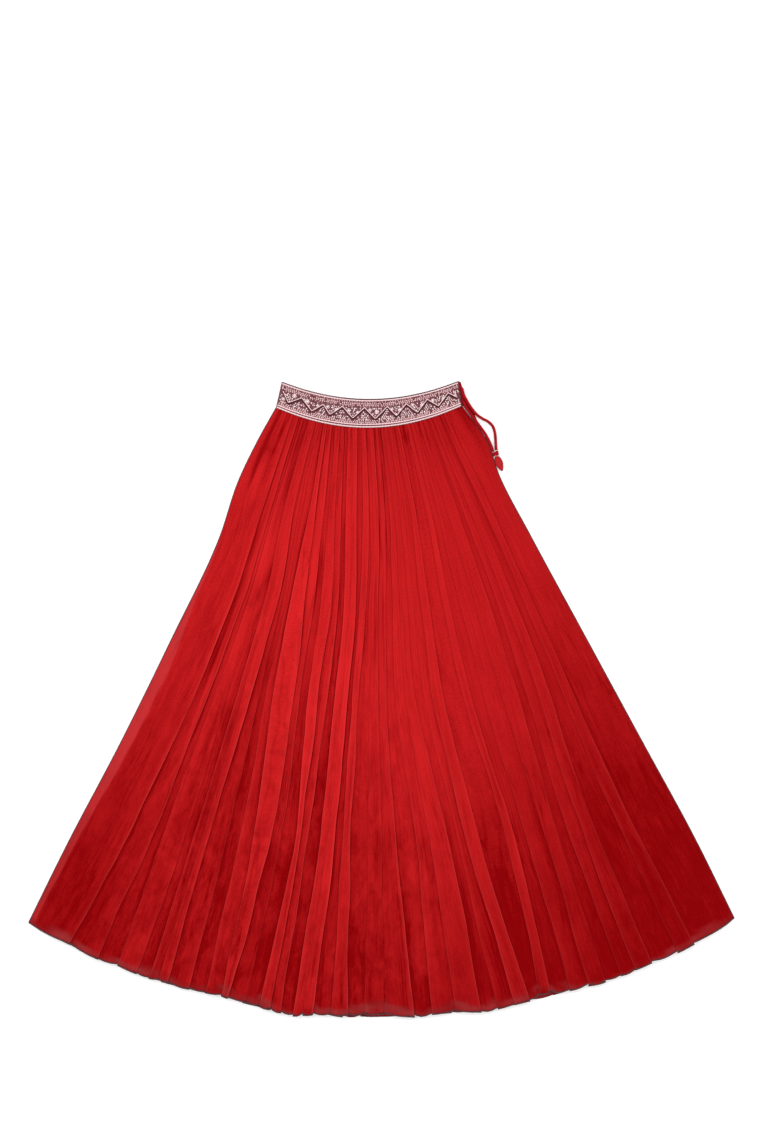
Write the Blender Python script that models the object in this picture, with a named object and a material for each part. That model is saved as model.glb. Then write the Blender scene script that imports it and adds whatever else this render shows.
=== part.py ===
"""A pleated lehenga skirt laid flat on a surface, front upwards.

Metres, +Z up. The waist points to +Y and the hem to -Y, so +X is the wearer's left. The origin is on
the surface, under the middle of the garment's box. Every cloth piece is a closed wall: a centre line
is worked out across the skirt at a few sections from waist to hem, and half of the wall is laid on
each side of it. The pleats are knife pleats with a real tuck, in the order of the two pleat tables.
"""

from collections import namedtuple
from math import cos, pi, sin

import bmesh
import bpy
import numpy as np

MM = 0.001

# Cloth and the way its layers lie on each other
CLOTH = 1.0 * MM
LAYER = 1.35 * MM
BAND_WALL = 2.2 * MM
SEAM_GAP = 0.3 * MM
SLACK = 0.15 * MM

# The skirt from the waist seam to the hem, measured from the middle of the seam
SEAM_ABOVE_ORIGIN = 0.4667
SEAM_LEFT_RISE = 0.0353
SEAM_RIGHT_RISE = 0.0387
DROP_MIDDLE = 1.0149
DROP_LEFT = 0.8893
DROP_RIGHT = 0.8849

# The waistband above the seam
BAND_MIDDLE_HEIGHT = 0.0507
BAND_LEFT_HEIGHT = 0.0455
BAND_RIGHT_HEIGHT = 0.0432
BAND_TOP_LEFT = -0.1721
BAND_TOP_RIGHT = 0.1332

# Where the layers part near the side seams: the lining stops short, then the stack climbs
LINING_INSET_WAIST, LINING_INSET_HEM = 0.007, 0.016
SHOULDER_WAIST, SHOULDER_HEM = 0.024, 0.056
LINING_ABOVE_HEM = 0.013
PUFF_HIP, PUFF_HEM = 1.0 * MM, 2.6 * MM

LEAST_TUCK = 1.4 * MM
LEAST_PLEAT = 4.6 * MM
TUCK_SHARE = 0.28

# Half-widths of the skirt: how far down, and the side edges' places across
Section = namedtuple("Section", "down left right")
SECTIONS = [
    Section(0.00, -0.1823, 0.1394),
    Section(0.06, -0.2121, 0.1784),
    Section(0.14, -0.2464, 0.2052),
    Section(0.25, -0.2792, 0.2562),
    Section(0.45, -0.3631, 0.3522),
    Section(0.65, -0.4505, 0.4482),
    Section(0.85, -0.5439, 0.5443),
    Section(1.00, -0.6097, 0.6097),
]

# Each pleat's folded edge as a percentage of the way across, at six heights. lap is +1 where the
# cloth on its left lies on top and -1 where the cloth on its right does. tuck is the hidden cloth
# at the hem and drop is how far the hem hangs below its even curve there, both in millimetres.
Pleat = namedtuple("Pleat", "waist hip thigh knee calf hem lap tuck drop")
PLEAT_HEIGHTS = (0.0, 0.14, 0.30, 0.45, 0.70, 1.0)
FRONT_PLEATS = [
    Pleat(9.5, 11.6, 10.4, 10.1, 8.0, 6.3, +1, 14, -1.5),
    Pleat(12.4, 13.9, 12.3, 12.0, 11.0, 9.8, +1, 12, 2.0),
    Pleat(14.2, 15.2, 13.7, 13.3, 12.4, 12.7, -1, 9, -2.0),
    Pleat(16.2, 16.7, 15.6, 15.6, 16.0, 15.4, +1, 8, 0.0),
    Pleat(17.8, 18.1, 17.0, 17.5, 17.8, 17.1, -1, 14, 0.0),
    Pleat(19.4, 19.6, 18.3, 19.5, 19.9, 19.7, -1, 12, -2.0),
    Pleat(21.4, 22.0, 21.6, 21.3, 22.7, 22.8, +1, 14, -2.0),
    Pleat(23.4, 24.7, 23.2, 23.5, 24.8, 25.3, -1, 8, -1.5),
    Pleat(25.6, 27.5, 24.9, 25.5, 27.2, 27.3, -1, 12, -5.0),
    Pleat(27.6, 29.6, 29.2, 29.7, 30.4, 28.8, +1, 14, -3.0),
    Pleat(30.2, 32.8, 31.5, 31.4, 32.0, 30.9, +1, 8, -2.0),
    Pleat(32.2, 34.6, 33.4, 33.4, 34.3, 32.8, -1, 12, -3.0),
    Pleat(34.6, 36.8, 36.5, 35.9, 35.4, 34.3, +1, 8, 0.0),
    Pleat(37.0, 39.2, 39.0, 38.1, 36.6, 35.8, +1, 10, 3.0),
    Pleat(38.8, 41.0, 40.7, 39.9, 38.9, 37.6, -1, 12, 5.0),
    Pleat(41.6, 43.4, 42.4, 41.4, 40.4, 38.9, -1, 7, 3.0),
    Pleat(43.8, 45.5, 44.8, 43.3, 42.0, 40.2, +1, 14, 0.0),
    Pleat(45.8, 47.4, 45.9, 44.6, 43.2, 42.9, -1, 6, -1.0),
    Pleat(48.2, 49.7, 47.3, 46.0, 44.6, 45.1, +1, 10, -2.0),
    Pleat(50.2, 51.5, 48.9, 47.9, 47.6, 47.6, -1, 7, -4.0),
    Pleat(52.2, 53.4, 50.6, 50.0, 50.2, 50.3, +1, 10, -5.0),
    Pleat(54.6, 55.9, 53.0, 51.9, 52.7, 54.8, +1, 14, 0.0),
    Pleat(56.4, 57.6, 54.9, 54.0, 56.3, 57.0, -1, 10, -1.0),
    Pleat(58.4, 59.4, 57.0, 56.4, 58.8, 60.2, -1, 8, -1.0),
    Pleat(60.4, 61.2, 59.2, 58.6, 61.4, 64.2, +1, 14, 5.0),
    Pleat(62.2, 63.2, 61.1, 60.8, 63.3, 66.6, -1, 8, 4.0),
    Pleat(64.0, 65.4, 63.2, 62.9, 65.2, 69.2, -1, 9, 4.0),
    Pleat(66.2, 67.4, 65.6, 65.4, 67.7, 70.9, +1, 14, 4.0),
    Pleat(69.8, 71.0, 69.6, 69.6, 71.9, 72.4, -1, 8, -4.0),
    Pleat(71.8, 72.9, 71.4, 71.4, 73.5, 74.1, +1, 10, -3.0),
    Pleat(74.4, 75.2, 74.2, 74.4, 75.6, 76.7, -1, 9, 3.0),
    Pleat(77.2, 78.2, 78.2, 78.3, 78.8, 79.3, -1, 12, 6.0),
    Pleat(80.6, 81.9, 82.0, 82.0, 81.0, 81.8, +1, 12, 6.0),
    Pleat(82.4, 83.6, 83.9, 83.7, 82.8, 83.8, -1, 7, 7.0),
    Pleat(84.4, 85.8, 86.2, 86.0, 84.9, 86.0, -1, 12, 9.0),
    Pleat(86.8, 88.2, 88.6, 88.4, 87.0, 88.4, +1, 10, 7.0),
    Pleat(88.8, 90.2, 90.6, 90.5, 90.4, 92.0, -1, 9, 7.0),
    Pleat(91.2, 92.8, 93.0, 92.8, 92.6, 94.4, +1, 10, 5.0),
]
# The back is pleated from the same length of cloth, with fewer and wider laps
BACK_PLEATS = [
    Pleat(9.2, 8.6, 8.2, 7.8, 7.2, 6.8, +1, 14, 1.0),
    Pleat(12.6, 12.4, 12.2, 12.0, 11.2, 10.6, -1, 12, -2.0),
    Pleat(16.0, 16.2, 16.0, 15.4, 15.0, 15.2, +1, 14, -1.0),
    Pleat(19.2, 19.6, 19.8, 19.6, 19.2, 18.8, -1, 12, 2.0),
    Pleat(22.6, 23.2, 23.6, 23.4, 23.2, 22.2, +1, 14, 0.0),
    Pleat(26.4, 27.0, 27.0, 27.2, 26.4, 26.6, +1, 12, -3.0),
    Pleat(29.2, 30.0, 30.4, 30.2, 30.4, 30.2, -1, 12, 1.0),
    Pleat(33.0, 33.4, 33.8, 34.2, 34.0, 33.6, +1, 14, 3.0),
    Pleat(36.2, 37.0, 37.2, 37.0, 37.6, 37.8, -1, 10, -1.0),
    Pleat(39.8, 40.2, 40.6, 41.0, 41.0, 41.4, +1, 14, -2.0),
    Pleat(43.4, 43.6, 43.8, 43.6, 44.2, 44.6, +1, 12, 2.0),
    Pleat(46.6, 47.0, 47.0, 47.0, 47.0, 47.0, -1, 12, 0.0),
    Pleat(53.0, 53.0, 53.0, 53.0, 53.0, 53.0, +1, 14, 0.0),
    Pleat(56.2, 56.2, 56.6, 56.8, 56.2, 56.4, -1, 12, -2.0),
    Pleat(59.8, 59.6, 60.0, 60.2, 60.4, 60.0, +1, 14, 1.0),
    Pleat(63.0, 63.2, 63.2, 63.0, 63.6, 64.0, -1, 12, 3.0),
    Pleat(66.6, 66.8, 66.8, 67.2, 67.4, 67.2, -1, 12, -1.0),
    Pleat(70.2, 70.0, 70.4, 70.6, 70.4, 71.0, +1, 14, 2.0),
    Pleat(73.6, 73.8, 73.6, 74.0, 74.6, 74.4, -1, 10, 4.0),
    Pleat(77.2, 77.0, 77.4, 77.2, 77.8, 78.2, +1, 14, 3.0),
    Pleat(80.8, 81.0, 80.8, 81.2, 81.4, 82.0, -1, 12, 5.0),
    Pleat(84.4, 84.2, 84.6, 84.8, 85.2, 85.6, +1, 12, 6.0),
    Pleat(87.6, 87.8, 88.0, 88.4, 88.8, 89.4, -1, 10, 4.0),
    Pleat(90.8, 91.4, 91.8, 92.2, 92.8, 93.2, -1, 12, 4.0),
]

FRONT_ROWS = (0.0, 0.06, 0.14, 0.30, 0.45, 0.70, 0.85, 1.0)
BACK_ROWS = (0.0, 0.06, 0.14, 0.30, 0.60, 1.0)
LINING_COLUMNS = 14


def between(start, end, share):
    return start + (end - start) * share


def ease(share):
    share = min(1.0, max(0.0, share))
    return share * share * (3 - 2 * share)


def curve_through(stops, values, at):
    """A smooth curve through (stop, value) pairs, read at one place."""
    slopes = np.gradient(values, stops)
    k = min(max(int(np.searchsorted(stops, at)) - 1, 0), len(stops) - 2)
    step = stops[k + 1] - stops[k]
    u = (at - stops[k]) / step
    return (
        (2 * u**3 - 3 * u**2 + 1) * values[k]
        + (u**3 - 2 * u**2 + u) * step * slopes[k]
        + (3 * u**2 - 2 * u**3) * values[k + 1]
        + (u**3 - u**2) * step * slopes[k + 1]
    )


def side_edges(down):
    stops = [section.down for section in SECTIONS]
    left = curve_through(stops, [section.left for section in SECTIONS], down)
    right = curve_through(stops, [section.right for section in SECTIONS], down)
    return left, right


def skirt_y(x, down, left, right):
    """Height on the page of a point of the skirt: each section hangs in a shallow curve."""
    share = (x - left) / (right - left)
    left_y = SEAM_LEFT_RISE - DROP_LEFT * down
    right_y = SEAM_RIGHT_RISE - DROP_RIGHT * down
    sag = (left_y + right_y) / 2 + DROP_MIDDLE * down
    return SEAM_ABOVE_ORIGIN + between(left_y, right_y, share) - sag * 4 * share * (1 - share)


def lining_inset(down):
    return between(LINING_INSET_WAIST, LINING_INSET_HEM, down)


def climb(distance, down):
    """Share of the way up the stack, at a distance from the nearer side seam."""
    inset = lining_inset(down)
    return ease((distance - inset) / (between(SHOULDER_WAIST, SHOULDER_HEM, down) - inset))


# Heights of the middle of each cloth layer over the surface, clear of the side seams
BACK_OUTER = CLOTH / 2
BACK_INNER = BACK_OUTER + 2 * LAYER
LINING_BACK = BACK_INNER + LAYER
LINING_FRONT = LINING_BACK + LAYER
FRONT_INNER = LINING_FRONT + LAYER + SLACK
# and at the lining's own side edges, or at the side seam for the front
LINING_BACK_EDGE = BACK_OUTER + LAYER
LINING_FRONT_EDGE = LINING_BACK_EDGE + LAYER
FRONT_OVER_LINING = LINING_FRONT_EDGE + LAYER + SLACK
FRONT_SEAM = BACK_OUTER + LAYER


def front_base(distance, down):
    """Height of the front's innermost layer, from the side seam inwards."""
    off_the_seam = min(1.0, distance / lining_inset(down))
    return (
        between(FRONT_SEAM, FRONT_OVER_LINING, off_the_seam)
        + (FRONT_INNER - FRONT_OVER_LINING) * climb(distance, down)
    )


def spread(places, laps, room):
    """Moves folded edges apart where they would make the wall cross itself."""
    places = list(places)
    for _ in range(60):
        for k in range(len(places) - 1):
            valley = laps[k] > 0 > laps[k + 1]
            wanted = room * (0.75 if valley else 1.0)
            short = wanted - (places[k + 1] - places[k])
            if short > 0:
                places[k] -= short / 2
                places[k + 1] += short / 2
    return places


def folded_edges(pleats, down, left, right):
    """Where each pleat's folded edge and tuck lie at this height."""
    laps = [pleat.lap for pleat in pleats]
    across = []
    for pleat in pleats:
        stops = list(PLEAT_HEIGHTS)
        shares = (pleat.waist, pleat.hip, pleat.thigh, pleat.knee, pleat.calf, pleat.hem)
        places = [between(*side_edges(stop), share / 100) for stop, share in zip(stops, shares)]
        across.append(curve_through(stops, places, down))
    across = spread(across, laps, LEAST_PLEAT)
    ends = [left] + across + [right]
    tucks = []
    for k, pleat in enumerate(pleats):
        over = ends[k + 1] - ends[k] if pleat.lap > 0 else ends[k + 2] - ends[k + 1]
        wanted = between(2.0, pleat.tuck, down) * MM
        tucks.append(max(LEAST_TUCK, min(wanted, TUCK_SHARE * over)))
    return across, laps, tucks


def pleated_line(pleats, down, left, right, puff, starts_high):
    """The centre line across a pleated piece, as (x, height over the innermost layer)."""
    across, laps, tucks = folded_edges(pleats, down, left, right)
    top = 2 * LAYER + puff
    line = []
    before, high = left, starts_high
    tuck_before = 0.0
    for k in range(len(across) + 1):
        last = k == len(across)
        edge = right if last else across[k]
        ends_high = starts_high if last else laps[k] > 0
        tuck = 0.0 if last else tucks[k]
        width = edge - before
        clear = CLOTH / 2 + SEAM_GAP
        if high and ends_high:
            panel = [(before + width / 3, top), (edge - width / 3, top)]
        elif high:
            panel = [(before + tuck_before + clear, top), (edge - max(0.8 * MM, width * 0.1), 0.0)]
        elif ends_high:
            panel = [(before + max(0.8 * MM, width * 0.1), 0.0), (edge - tuck - clear, top)]
        else:
            panel = [(before + width / 3, 0.0), (edge - width / 3, 0.0)]
        line += panel
        if last:
            break
        if laps[k] > 0:
            fold = [(edge, top), (edge, LAYER), (edge - tuck, LAYER), (edge - tuck, 0.0)]
        else:
            fold = [(edge + tuck, 0.0), (edge + tuck, LAYER), (edge, LAYER), (edge, top)]
        line += fold
        before, high, tuck_before = edge, laps[k] < 0, tuck
    return line


def offset_both_ways(line, half):
    """Points half a wall above and below a centre line of (x, z), square to it."""
    points = np.array(line)
    runs = np.diff(points, axis=0)
    runs /= np.linalg.norm(runs, axis=1)[:, None]
    square = np.stack([-runs[:, 1], runs[:, 0]], axis=1)
    before = np.vstack([square[:1], square])
    after = np.vstack([square, square[-1:]])
    mitre = (before + after) / np.maximum(1 + (before * after).sum(axis=1), 0.35)[:, None]
    return points + mitre * half, points - mitre * half


def closed_wall(upper, lower):
    """A closed mesh from two grids of points, one row for each section."""
    mesh = bmesh.new()
    grids = [[[mesh.verts.new(p) for p in row] for row in grid] for grid in (upper, lower)]
    over, under = grids
    rows, columns = len(over), len(over[0])
    for i in range(rows - 1):
        for j in range(columns - 1):
            mesh.faces.new((over[i][j], over[i + 1][j], over[i + 1][j + 1], over[i][j + 1]))
            mesh.faces.new((under[i][j], under[i][j + 1], under[i + 1][j + 1], under[i + 1][j]))
    for i in range(rows - 1):
        for j, turned in ((0, False), (columns - 1, True)):
            face = (over[i][j], under[i][j], under[i + 1][j], over[i + 1][j])
            mesh.faces.new(face[::-1] if turned else face)
    for j in range(columns - 1):
        for i, turned in ((0, True), (rows - 1, False)):
            face = (over[i][j], under[i][j], under[i][j + 1], over[i][j + 1])
            mesh.faces.new(face[::-1] if turned else face)
    bmesh.ops.recalc_face_normals(mesh, faces=mesh.faces)
    return mesh


def material(name, colour, roughness, metallic=0.0):
    made = bpy.data.materials.new(name)
    made.use_nodes = True
    shader = made.node_tree.nodes["Principled BSDF"]
    shader.inputs["Base Color"].default_value = (*colour, 1.0)
    shader.inputs["Roughness"].default_value = roughness
    shader.inputs["Metallic"].default_value = metallic
    return made


def piece(name, mesh, finish):
    data = bpy.data.meshes.new(name)
    mesh.to_mesh(data)
    mesh.free()
    data.materials.append(finish)
    made = bpy.data.objects.new(name, data)
    bpy.context.scene.collection.objects.link(made)
    return made


def seam_steps(down):
    """Distances from a side seam at which the front and the linings change their slope."""
    inset = lining_inset(down)
    shoulder = between(SHOULDER_WAIST, SHOULDER_HEM, down)
    return inset, between(inset, shoulder, 0.3), between(inset, shoulder, 0.7), shoulder


def front_line(down, left, right):
    """The front's centre line. It rises from both side seams over the edges of its lining."""
    puff = between(PUFF_HIP, PUFF_HEM, ease((down - 0.14) / 0.86)) * ease(down / 0.14)
    line = pleated_line(FRONT_PLEATS, down, left, right, puff, starts_high=False)
    steps = (0.0,) + seam_steps(down)
    # the first and the last pleat both lap to the right, so three flat points give way to the seams
    line = (
        [(left + step, 0.0) for step in steps]
        + line[1:-2]
        + [(right - step, 0.0) for step in reversed(steps)]
    )
    return [(x, z + front_base(min(x - left, right - x), down)) for x, z in line]


def back_line(down, left, right):
    """The back's centre line, outer face down, its outermost layer flat on the surface."""
    line = pleated_line(BACK_PLEATS, down, left, right, 0.0, starts_high=True)
    line = [(left, 2 * LAYER)] + line + [(right, 2 * LAYER)]
    return [(x, BACK_OUTER + 2 * LAYER - z) for x, z in line]


def pleated_piece(name, pleats, rows, centre_line, finish):
    upper, lower = [], []
    for down in rows:
        left, right = side_edges(down)
        hang = hem_wave(pleats, down, left, right)
        line = centre_line(down, left, right)
        for grid, wall in zip((upper, lower), offset_both_ways(line, CLOTH / 2)):
            grid.append([(x, skirt_y(x, down, left, right) - hang(x), z) for x, z in wall])
    return piece(name, closed_wall(upper, lower), finish)


def hem_wave(pleats, down, left, right):
    """How far the cloth hangs below its even curve, fading out upwards."""
    across, _, _ = folded_edges(pleats, down, left, right)
    stops = [left] + list(across) + [right]
    drops = [0.0] + [pleat.drop * MM for pleat in pleats] + [0.0]
    strength = ease((down - 0.6) / 0.4)
    return lambda x: strength * float(np.interp(x, stops, drops))


def lining_piece(name, finish, edge_z, flat_z):
    """A plain, smooth layer that stops short of the side seams and of the hem."""
    short = 1 - LINING_ABOVE_HEM / DROP_MIDDLE
    upper, lower = [], []
    for down in FRONT_ROWS[:-1] + (short,):
        left, right = side_edges(down)
        steps = seam_steps(down)
        inner = np.linspace(left + steps[-1], right - steps[-1], LINING_COLUMNS)[1:-1]
        places = [left + d for d in steps] + list(inner) + [right - d for d in reversed(steps)]
        line = []
        for x in places:
            rise = climb(min(x - left, right - x), down)
            line.append((x, between(edge_z, flat_z, rise)))
        for grid, wall in zip((upper, lower), offset_both_ways(line, CLOTH / 2)):
            grid.append([(x, skirt_y(x, down, left, right), z) for x, z in wall])
    return piece(name, closed_wall(upper, lower), finish)


# The waistband

BAND_COLUMNS = 32
BAND_END_COLUMNS = 2
BAND_ROWS = 4
BAND_FRONT_REST = BAND_WALL * 1.5 + SEAM_GAP
BAND_FRONT_LIFT = 5.0 * MM


def band_point(share, up):
    """Place in plan of a point of the band: share across, and up from the seam to the top."""
    left = between(SECTIONS[0].left, BAND_TOP_LEFT, up)
    right = between(SECTIONS[0].right, BAND_TOP_RIGHT, up)
    left_y = SEAM_LEFT_RISE + BAND_LEFT_HEIGHT * up
    right_y = SEAM_RIGHT_RISE + BAND_RIGHT_HEIGHT * up
    sag = (left_y + right_y) / 2 - BAND_MIDDLE_HEIGHT * up
    y = SEAM_ABOVE_ORIGIN + between(left_y, right_y, share) - sag * 4 * share * (1 - share)
    return between(left, right, share), y + SEAM_GAP * (1 - up)


def band_front_z(share, up):
    """The front of the band lies on the gathers at the seam and comes down to the back on top."""
    in_from_end = min(share, 1 - share) * BAND_COLUMNS / BAND_END_COLUMNS
    return BAND_FRONT_REST + BAND_FRONT_LIFT * (1 - up) * min(1.0, in_from_end)


def band_piece(name, finish, height):
    upper, lower = [], []
    for i in range(BAND_ROWS + 1):
        up = 1 - i / BAND_ROWS
        shares = [j / BAND_COLUMNS for j in range(BAND_COLUMNS + 1)]
        places = [(*band_point(share, up), height(share, up)) for share in shares]
        upper.append([(x, y, z + BAND_WALL / 2) for x, y, z in places])
        lower.append([(x, y, z - BAND_WALL / 2) for x, y, z in places])
    return piece(name, closed_wall(upper, lower), finish)


# Couched zari cords on the front of the band: a zigzag between two straight ropes
Corner = namedtuple("Corner", "share up")
ZIGZAG_CORNERS = [
    Corner(0.018, 0.64),
    Corner(0.057, 0.32),
    Corner(0.122, 0.65),
    Corner(0.186, 0.29),
    Corner(0.242, 0.62),
    Corner(0.284, 0.31),
    Corner(0.348, 0.66),
    Corner(0.409, 0.29),
    Corner(0.471, 0.67),
    Corner(0.533, 0.28),
    Corner(0.598, 0.68),
    Corner(0.648, 0.32),
    Corner(0.703, 0.69),
    Corner(0.763, 0.30),
    Corner(0.820, 0.68),
    Corner(0.878, 0.31),
    Corner(0.936, 0.67),
    Corner(0.982, 0.36),
]
ZARI_WIDTH = 2.4 * MM
ZARI_HEIGHT = 1.2 * MM
ZARI_LIFT = SEAM_GAP + 0.25 * MM
ROPE_PLACES = {"zari_rope_lower": 0.04, "zari_rope_upper": 0.94}


def on_band(share, up, above):
    x, y = band_point(share, up)
    return x, y, band_front_z(share, up) + BAND_WALL / 2 + above


def zari_piece(name, path, width, finish):
    """A low raised cord along a path of (share, up) on the band, with a rounded top."""
    band_width = SECTIONS[0].right - SECTIONS[0].left
    plan = np.array([(share * band_width, up * BAND_MIDDLE_HEIGHT) for share, up in path])
    left_side, right_side = offset_both_ways(plan, width / 2)
    rows = []
    for across in (0.0, 0.3, 0.7, 1.0):
        flat = between(left_side, right_side, across)
        rows.append([(x / band_width, y / BAND_MIDDLE_HEIGHT) for x, y in flat])
    rise = (0.5 * ZARI_HEIGHT, ZARI_HEIGHT, ZARI_HEIGHT, 0.5 * ZARI_HEIGHT)
    upper = [
        [on_band(share, up, ZARI_LIFT + height) for share, up in row]
        for row, height in zip(rows, rise)
    ]
    lower = [[on_band(share, up, ZARI_LIFT) for share, up in row] for row in rows]
    return piece(name, closed_wall(upper, lower), finish)


def zigzag_path():
    """Corner to corner, each leg in four steps."""
    path = []
    for start, end in zip(ZIGZAG_CORNERS, ZIGZAG_CORNERS[1:]):
        for step in (0.0, 0.25, 0.5, 0.75):
            path.append((between(start.share, end.share, step), between(start.up, end.up, step)))
    return path + [tuple(ZIGZAG_CORNERS[-1])]


def rope_path(up):
    shares = [k / BAND_COLUMNS for k in range(1, BAND_COLUMNS)]
    return [(share, up) for share in [0.01] + shares + [0.99]]


# The opening at the wearer's left: a narrow bound strip beyond the band's end and the seam
PLACKET_WALL = 1.2 * MM
PLACKET_SKIRT_SHARE = 0.5
Strip = namedtuple("Strip", "outer_x outer_y")
PLACKET_BESIDE_BAND = [
    Strip(0.1372, 0.5472),
    Strip(0.1410, 0.5350),
    Strip(0.1440, 0.5260),
    Strip(0.1468, 0.5170),
    Strip(0.1542, 0.5090),
]
PLACKET_BESIDE_SKIRT = [
    Strip(0.1660, 0.4795),
    Strip(0.1793, 0.4540),
]


def placket_piece(name, finish):
    rows = []
    for k, strip in enumerate(PLACKET_BESIDE_BAND):
        up = 1 - k / BAND_ROWS
        x, y = band_point(1.0, up)
        rows.append(((x + SEAM_GAP, y), (strip.outer_x, strip.outer_y)))
    for k, strip in enumerate(PLACKET_BESIDE_SKIRT):
        down = FRONT_ROWS[1] * (k + 1) * PLACKET_SKIRT_SHARE
        left, right = side_edges(FRONT_ROWS[1])
        x = between(SECTIONS[0].right, right, (k + 1) * PLACKET_SKIRT_SHARE)
        y = SEAM_ABOVE_ORIGIN + SEAM_RIGHT_RISE - DROP_RIGHT * down
        rows.append(((x + SEAM_GAP * 1.2, y), (strip.outer_x, strip.outer_y)))
    upper = [[(x, y, PLACKET_WALL) for x, y in row] for row in rows]
    lower = [[(x, y, 0.0) for x, y in row] for row in rows]
    return piece(name, closed_wall(upper, lower), finish)


# The drawstring (dori): two strands from the band's open end, bound in one knot with a hanging
DORI_DIAMETER = 5.2 * MM
DORI_SPACING = 2 * DORI_DIAMETER
Stop = namedtuple("Stop", "x y z")
DORI_OUTER = [
    Stop(0.1361, 0.5360, 0.0042),
    Stop(0.1388, 0.5360, 0.0042),
    Stop(0.1402, 0.5320, 0.0042),
    Stop(0.1424, 0.5245, 0.0042),
    Stop(0.1466, 0.5160, 0.0042),
    Stop(0.1516, 0.5075, 0.0042),
    Stop(0.1580, 0.4985, 0.0042),
    Stop(0.1655, 0.4900, 0.0040),
    Stop(0.1745, 0.4838, 0.0033),
    Stop(0.1838, 0.4790, 0.0027),
    Stop(0.1917, 0.4716, 0.0027),
    Stop(0.1957, 0.4610, 0.0027),
    Stop(0.1972, 0.4490, 0.0027),
    Stop(0.1978, 0.4380, 0.0029),
    Stop(0.1985, 0.4294, 0.0033),
]
DORI_INNER = [
    Stop(0.1396, 0.5118, 0.0042),
    Stop(0.1422, 0.5118, 0.0042),
    Stop(0.1444, 0.5072, 0.0042),
    Stop(0.1482, 0.5005, 0.0042),
    Stop(0.1541, 0.4925, 0.0042),
    Stop(0.1601, 0.4838, 0.0042),
    Stop(0.1668, 0.4745, 0.0042),
    Stop(0.1739, 0.4650, 0.0042),
    Stop(0.1800, 0.4560, 0.0036),
    Stop(0.1848, 0.4475, 0.0028),
    Stop(0.1889, 0.4380, 0.0028),
    Stop(0.1914, 0.4315, 0.0031),
    Stop(0.1928, 0.4266, 0.0033),
]


def smooth_route(stops, spacing):
    """Points on a smooth curve through the route's stops, even but for a short step at each end."""
    points = np.array(stops)
    lengths = np.concatenate([[0], np.cumsum(np.linalg.norm(np.diff(points, axis=0), axis=1))])
    fine = np.linspace(0, lengths[-1], 1000)
    curve = np.array(
        [[curve_through(list(lengths), list(points[:, k]), at) for k in range(3)] for at in fine]
    )
    run = np.concatenate([[0], np.cumsum(np.linalg.norm(np.diff(curve, axis=0), axis=1))])
    first = spacing / 3
    middle = np.linspace(first, run[-1] - first, int(run[-1] / spacing) + 1)
    even = [0.0, *middle, run[-1]]
    return [tuple(np.interp(at, run, curve[:, k]) for k in range(3)) for at in even]


def dori_piece(name, stops, finish):
    data = bpy.data.curves.new(name, "CURVE")
    data.dimensions = "3D"
    data.bevel_depth = DORI_DIAMETER / 2
    data.bevel_resolution = 3
    data.use_fill_caps = True
    spline = data.splines.new("POLY")
    points = smooth_route(stops, DORI_SPACING)
    spline.points.add(len(points) - 1)
    for point, place in zip(spline.points, points):
        point.co = (*place, 1.0)
    data.materials.append(finish)
    made = bpy.data.objects.new(name, data)
    bpy.context.scene.collection.objects.link(made)
    return made


# A wrapped knot binds both strands, and a small stuffed leaf (latkan) hangs from it
KNOT_START = (0.1958, 0.4272)
HANG_DIRECTION = (0.354, -0.935)
KNOT_HEIGHT = 3.7
RING_SIDES = 14
Ring = namedtuple("Ring", "along half_width half_height")
KNOT_RINGS = [
    Ring(0.0, 5.9, 3.1),
    Ring(1.2, 6.4, 3.4),
    Ring(4.0, 6.0, 3.4),
    Ring(5.4, 4.6, 3.0),
    Ring(6.6, 5.0, 3.2),
    Ring(8.6, 4.4, 2.9),
    Ring(9.4, 3.4, 2.4),
]
LATKAN_RINGS = [
    Ring(9.8, 2.6, 2.0),
    Ring(12.0, 4.3, 2.9),
    Ring(15.5, 5.8, 3.3),
    Ring(20.0, 6.6, 3.4),
    Ring(25.0, 6.0, 3.2),
    Ring(30.0, 4.2, 2.6),
    Ring(34.0, 2.2, 1.8),
    Ring(36.5, 0.8, 0.9),
]


def along_hang(along, aside, z):
    """A place measured in millimetres along the hanging's line, to its side, and up."""
    dx, dy = HANG_DIRECTION
    x = KNOT_START[0] + (along * dx - aside * dy) * MM
    y = KNOT_START[1] + (along * dy + aside * dx) * MM
    return x, y, z * MM


def ringed_piece(name, rings, finish):
    """A closed body through oval rings across the hanging's line."""
    mesh = bmesh.new()
    loops = []
    for ring in rings:
        loop = []
        for k in range(RING_SIDES):
            angle = 2 * pi * k / RING_SIDES
            aside = ring.half_width * cos(angle)
            height = KNOT_HEIGHT + ring.half_height * sin(angle)
            loop.append(mesh.verts.new(along_hang(ring.along, aside, height)))
        loops.append(loop)
    for first, second in zip(loops, loops[1:]):
        for k in range(RING_SIDES):
            after = (k + 1) % RING_SIDES
            mesh.faces.new((first[k], first[after], second[after], second[k]))
    mesh.faces.new(loops[0][::-1])
    mesh.faces.new(loops[-1])
    bmesh.ops.recalc_face_normals(mesh, faces=mesh.faces)
    return piece(name, mesh, finish)


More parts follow.
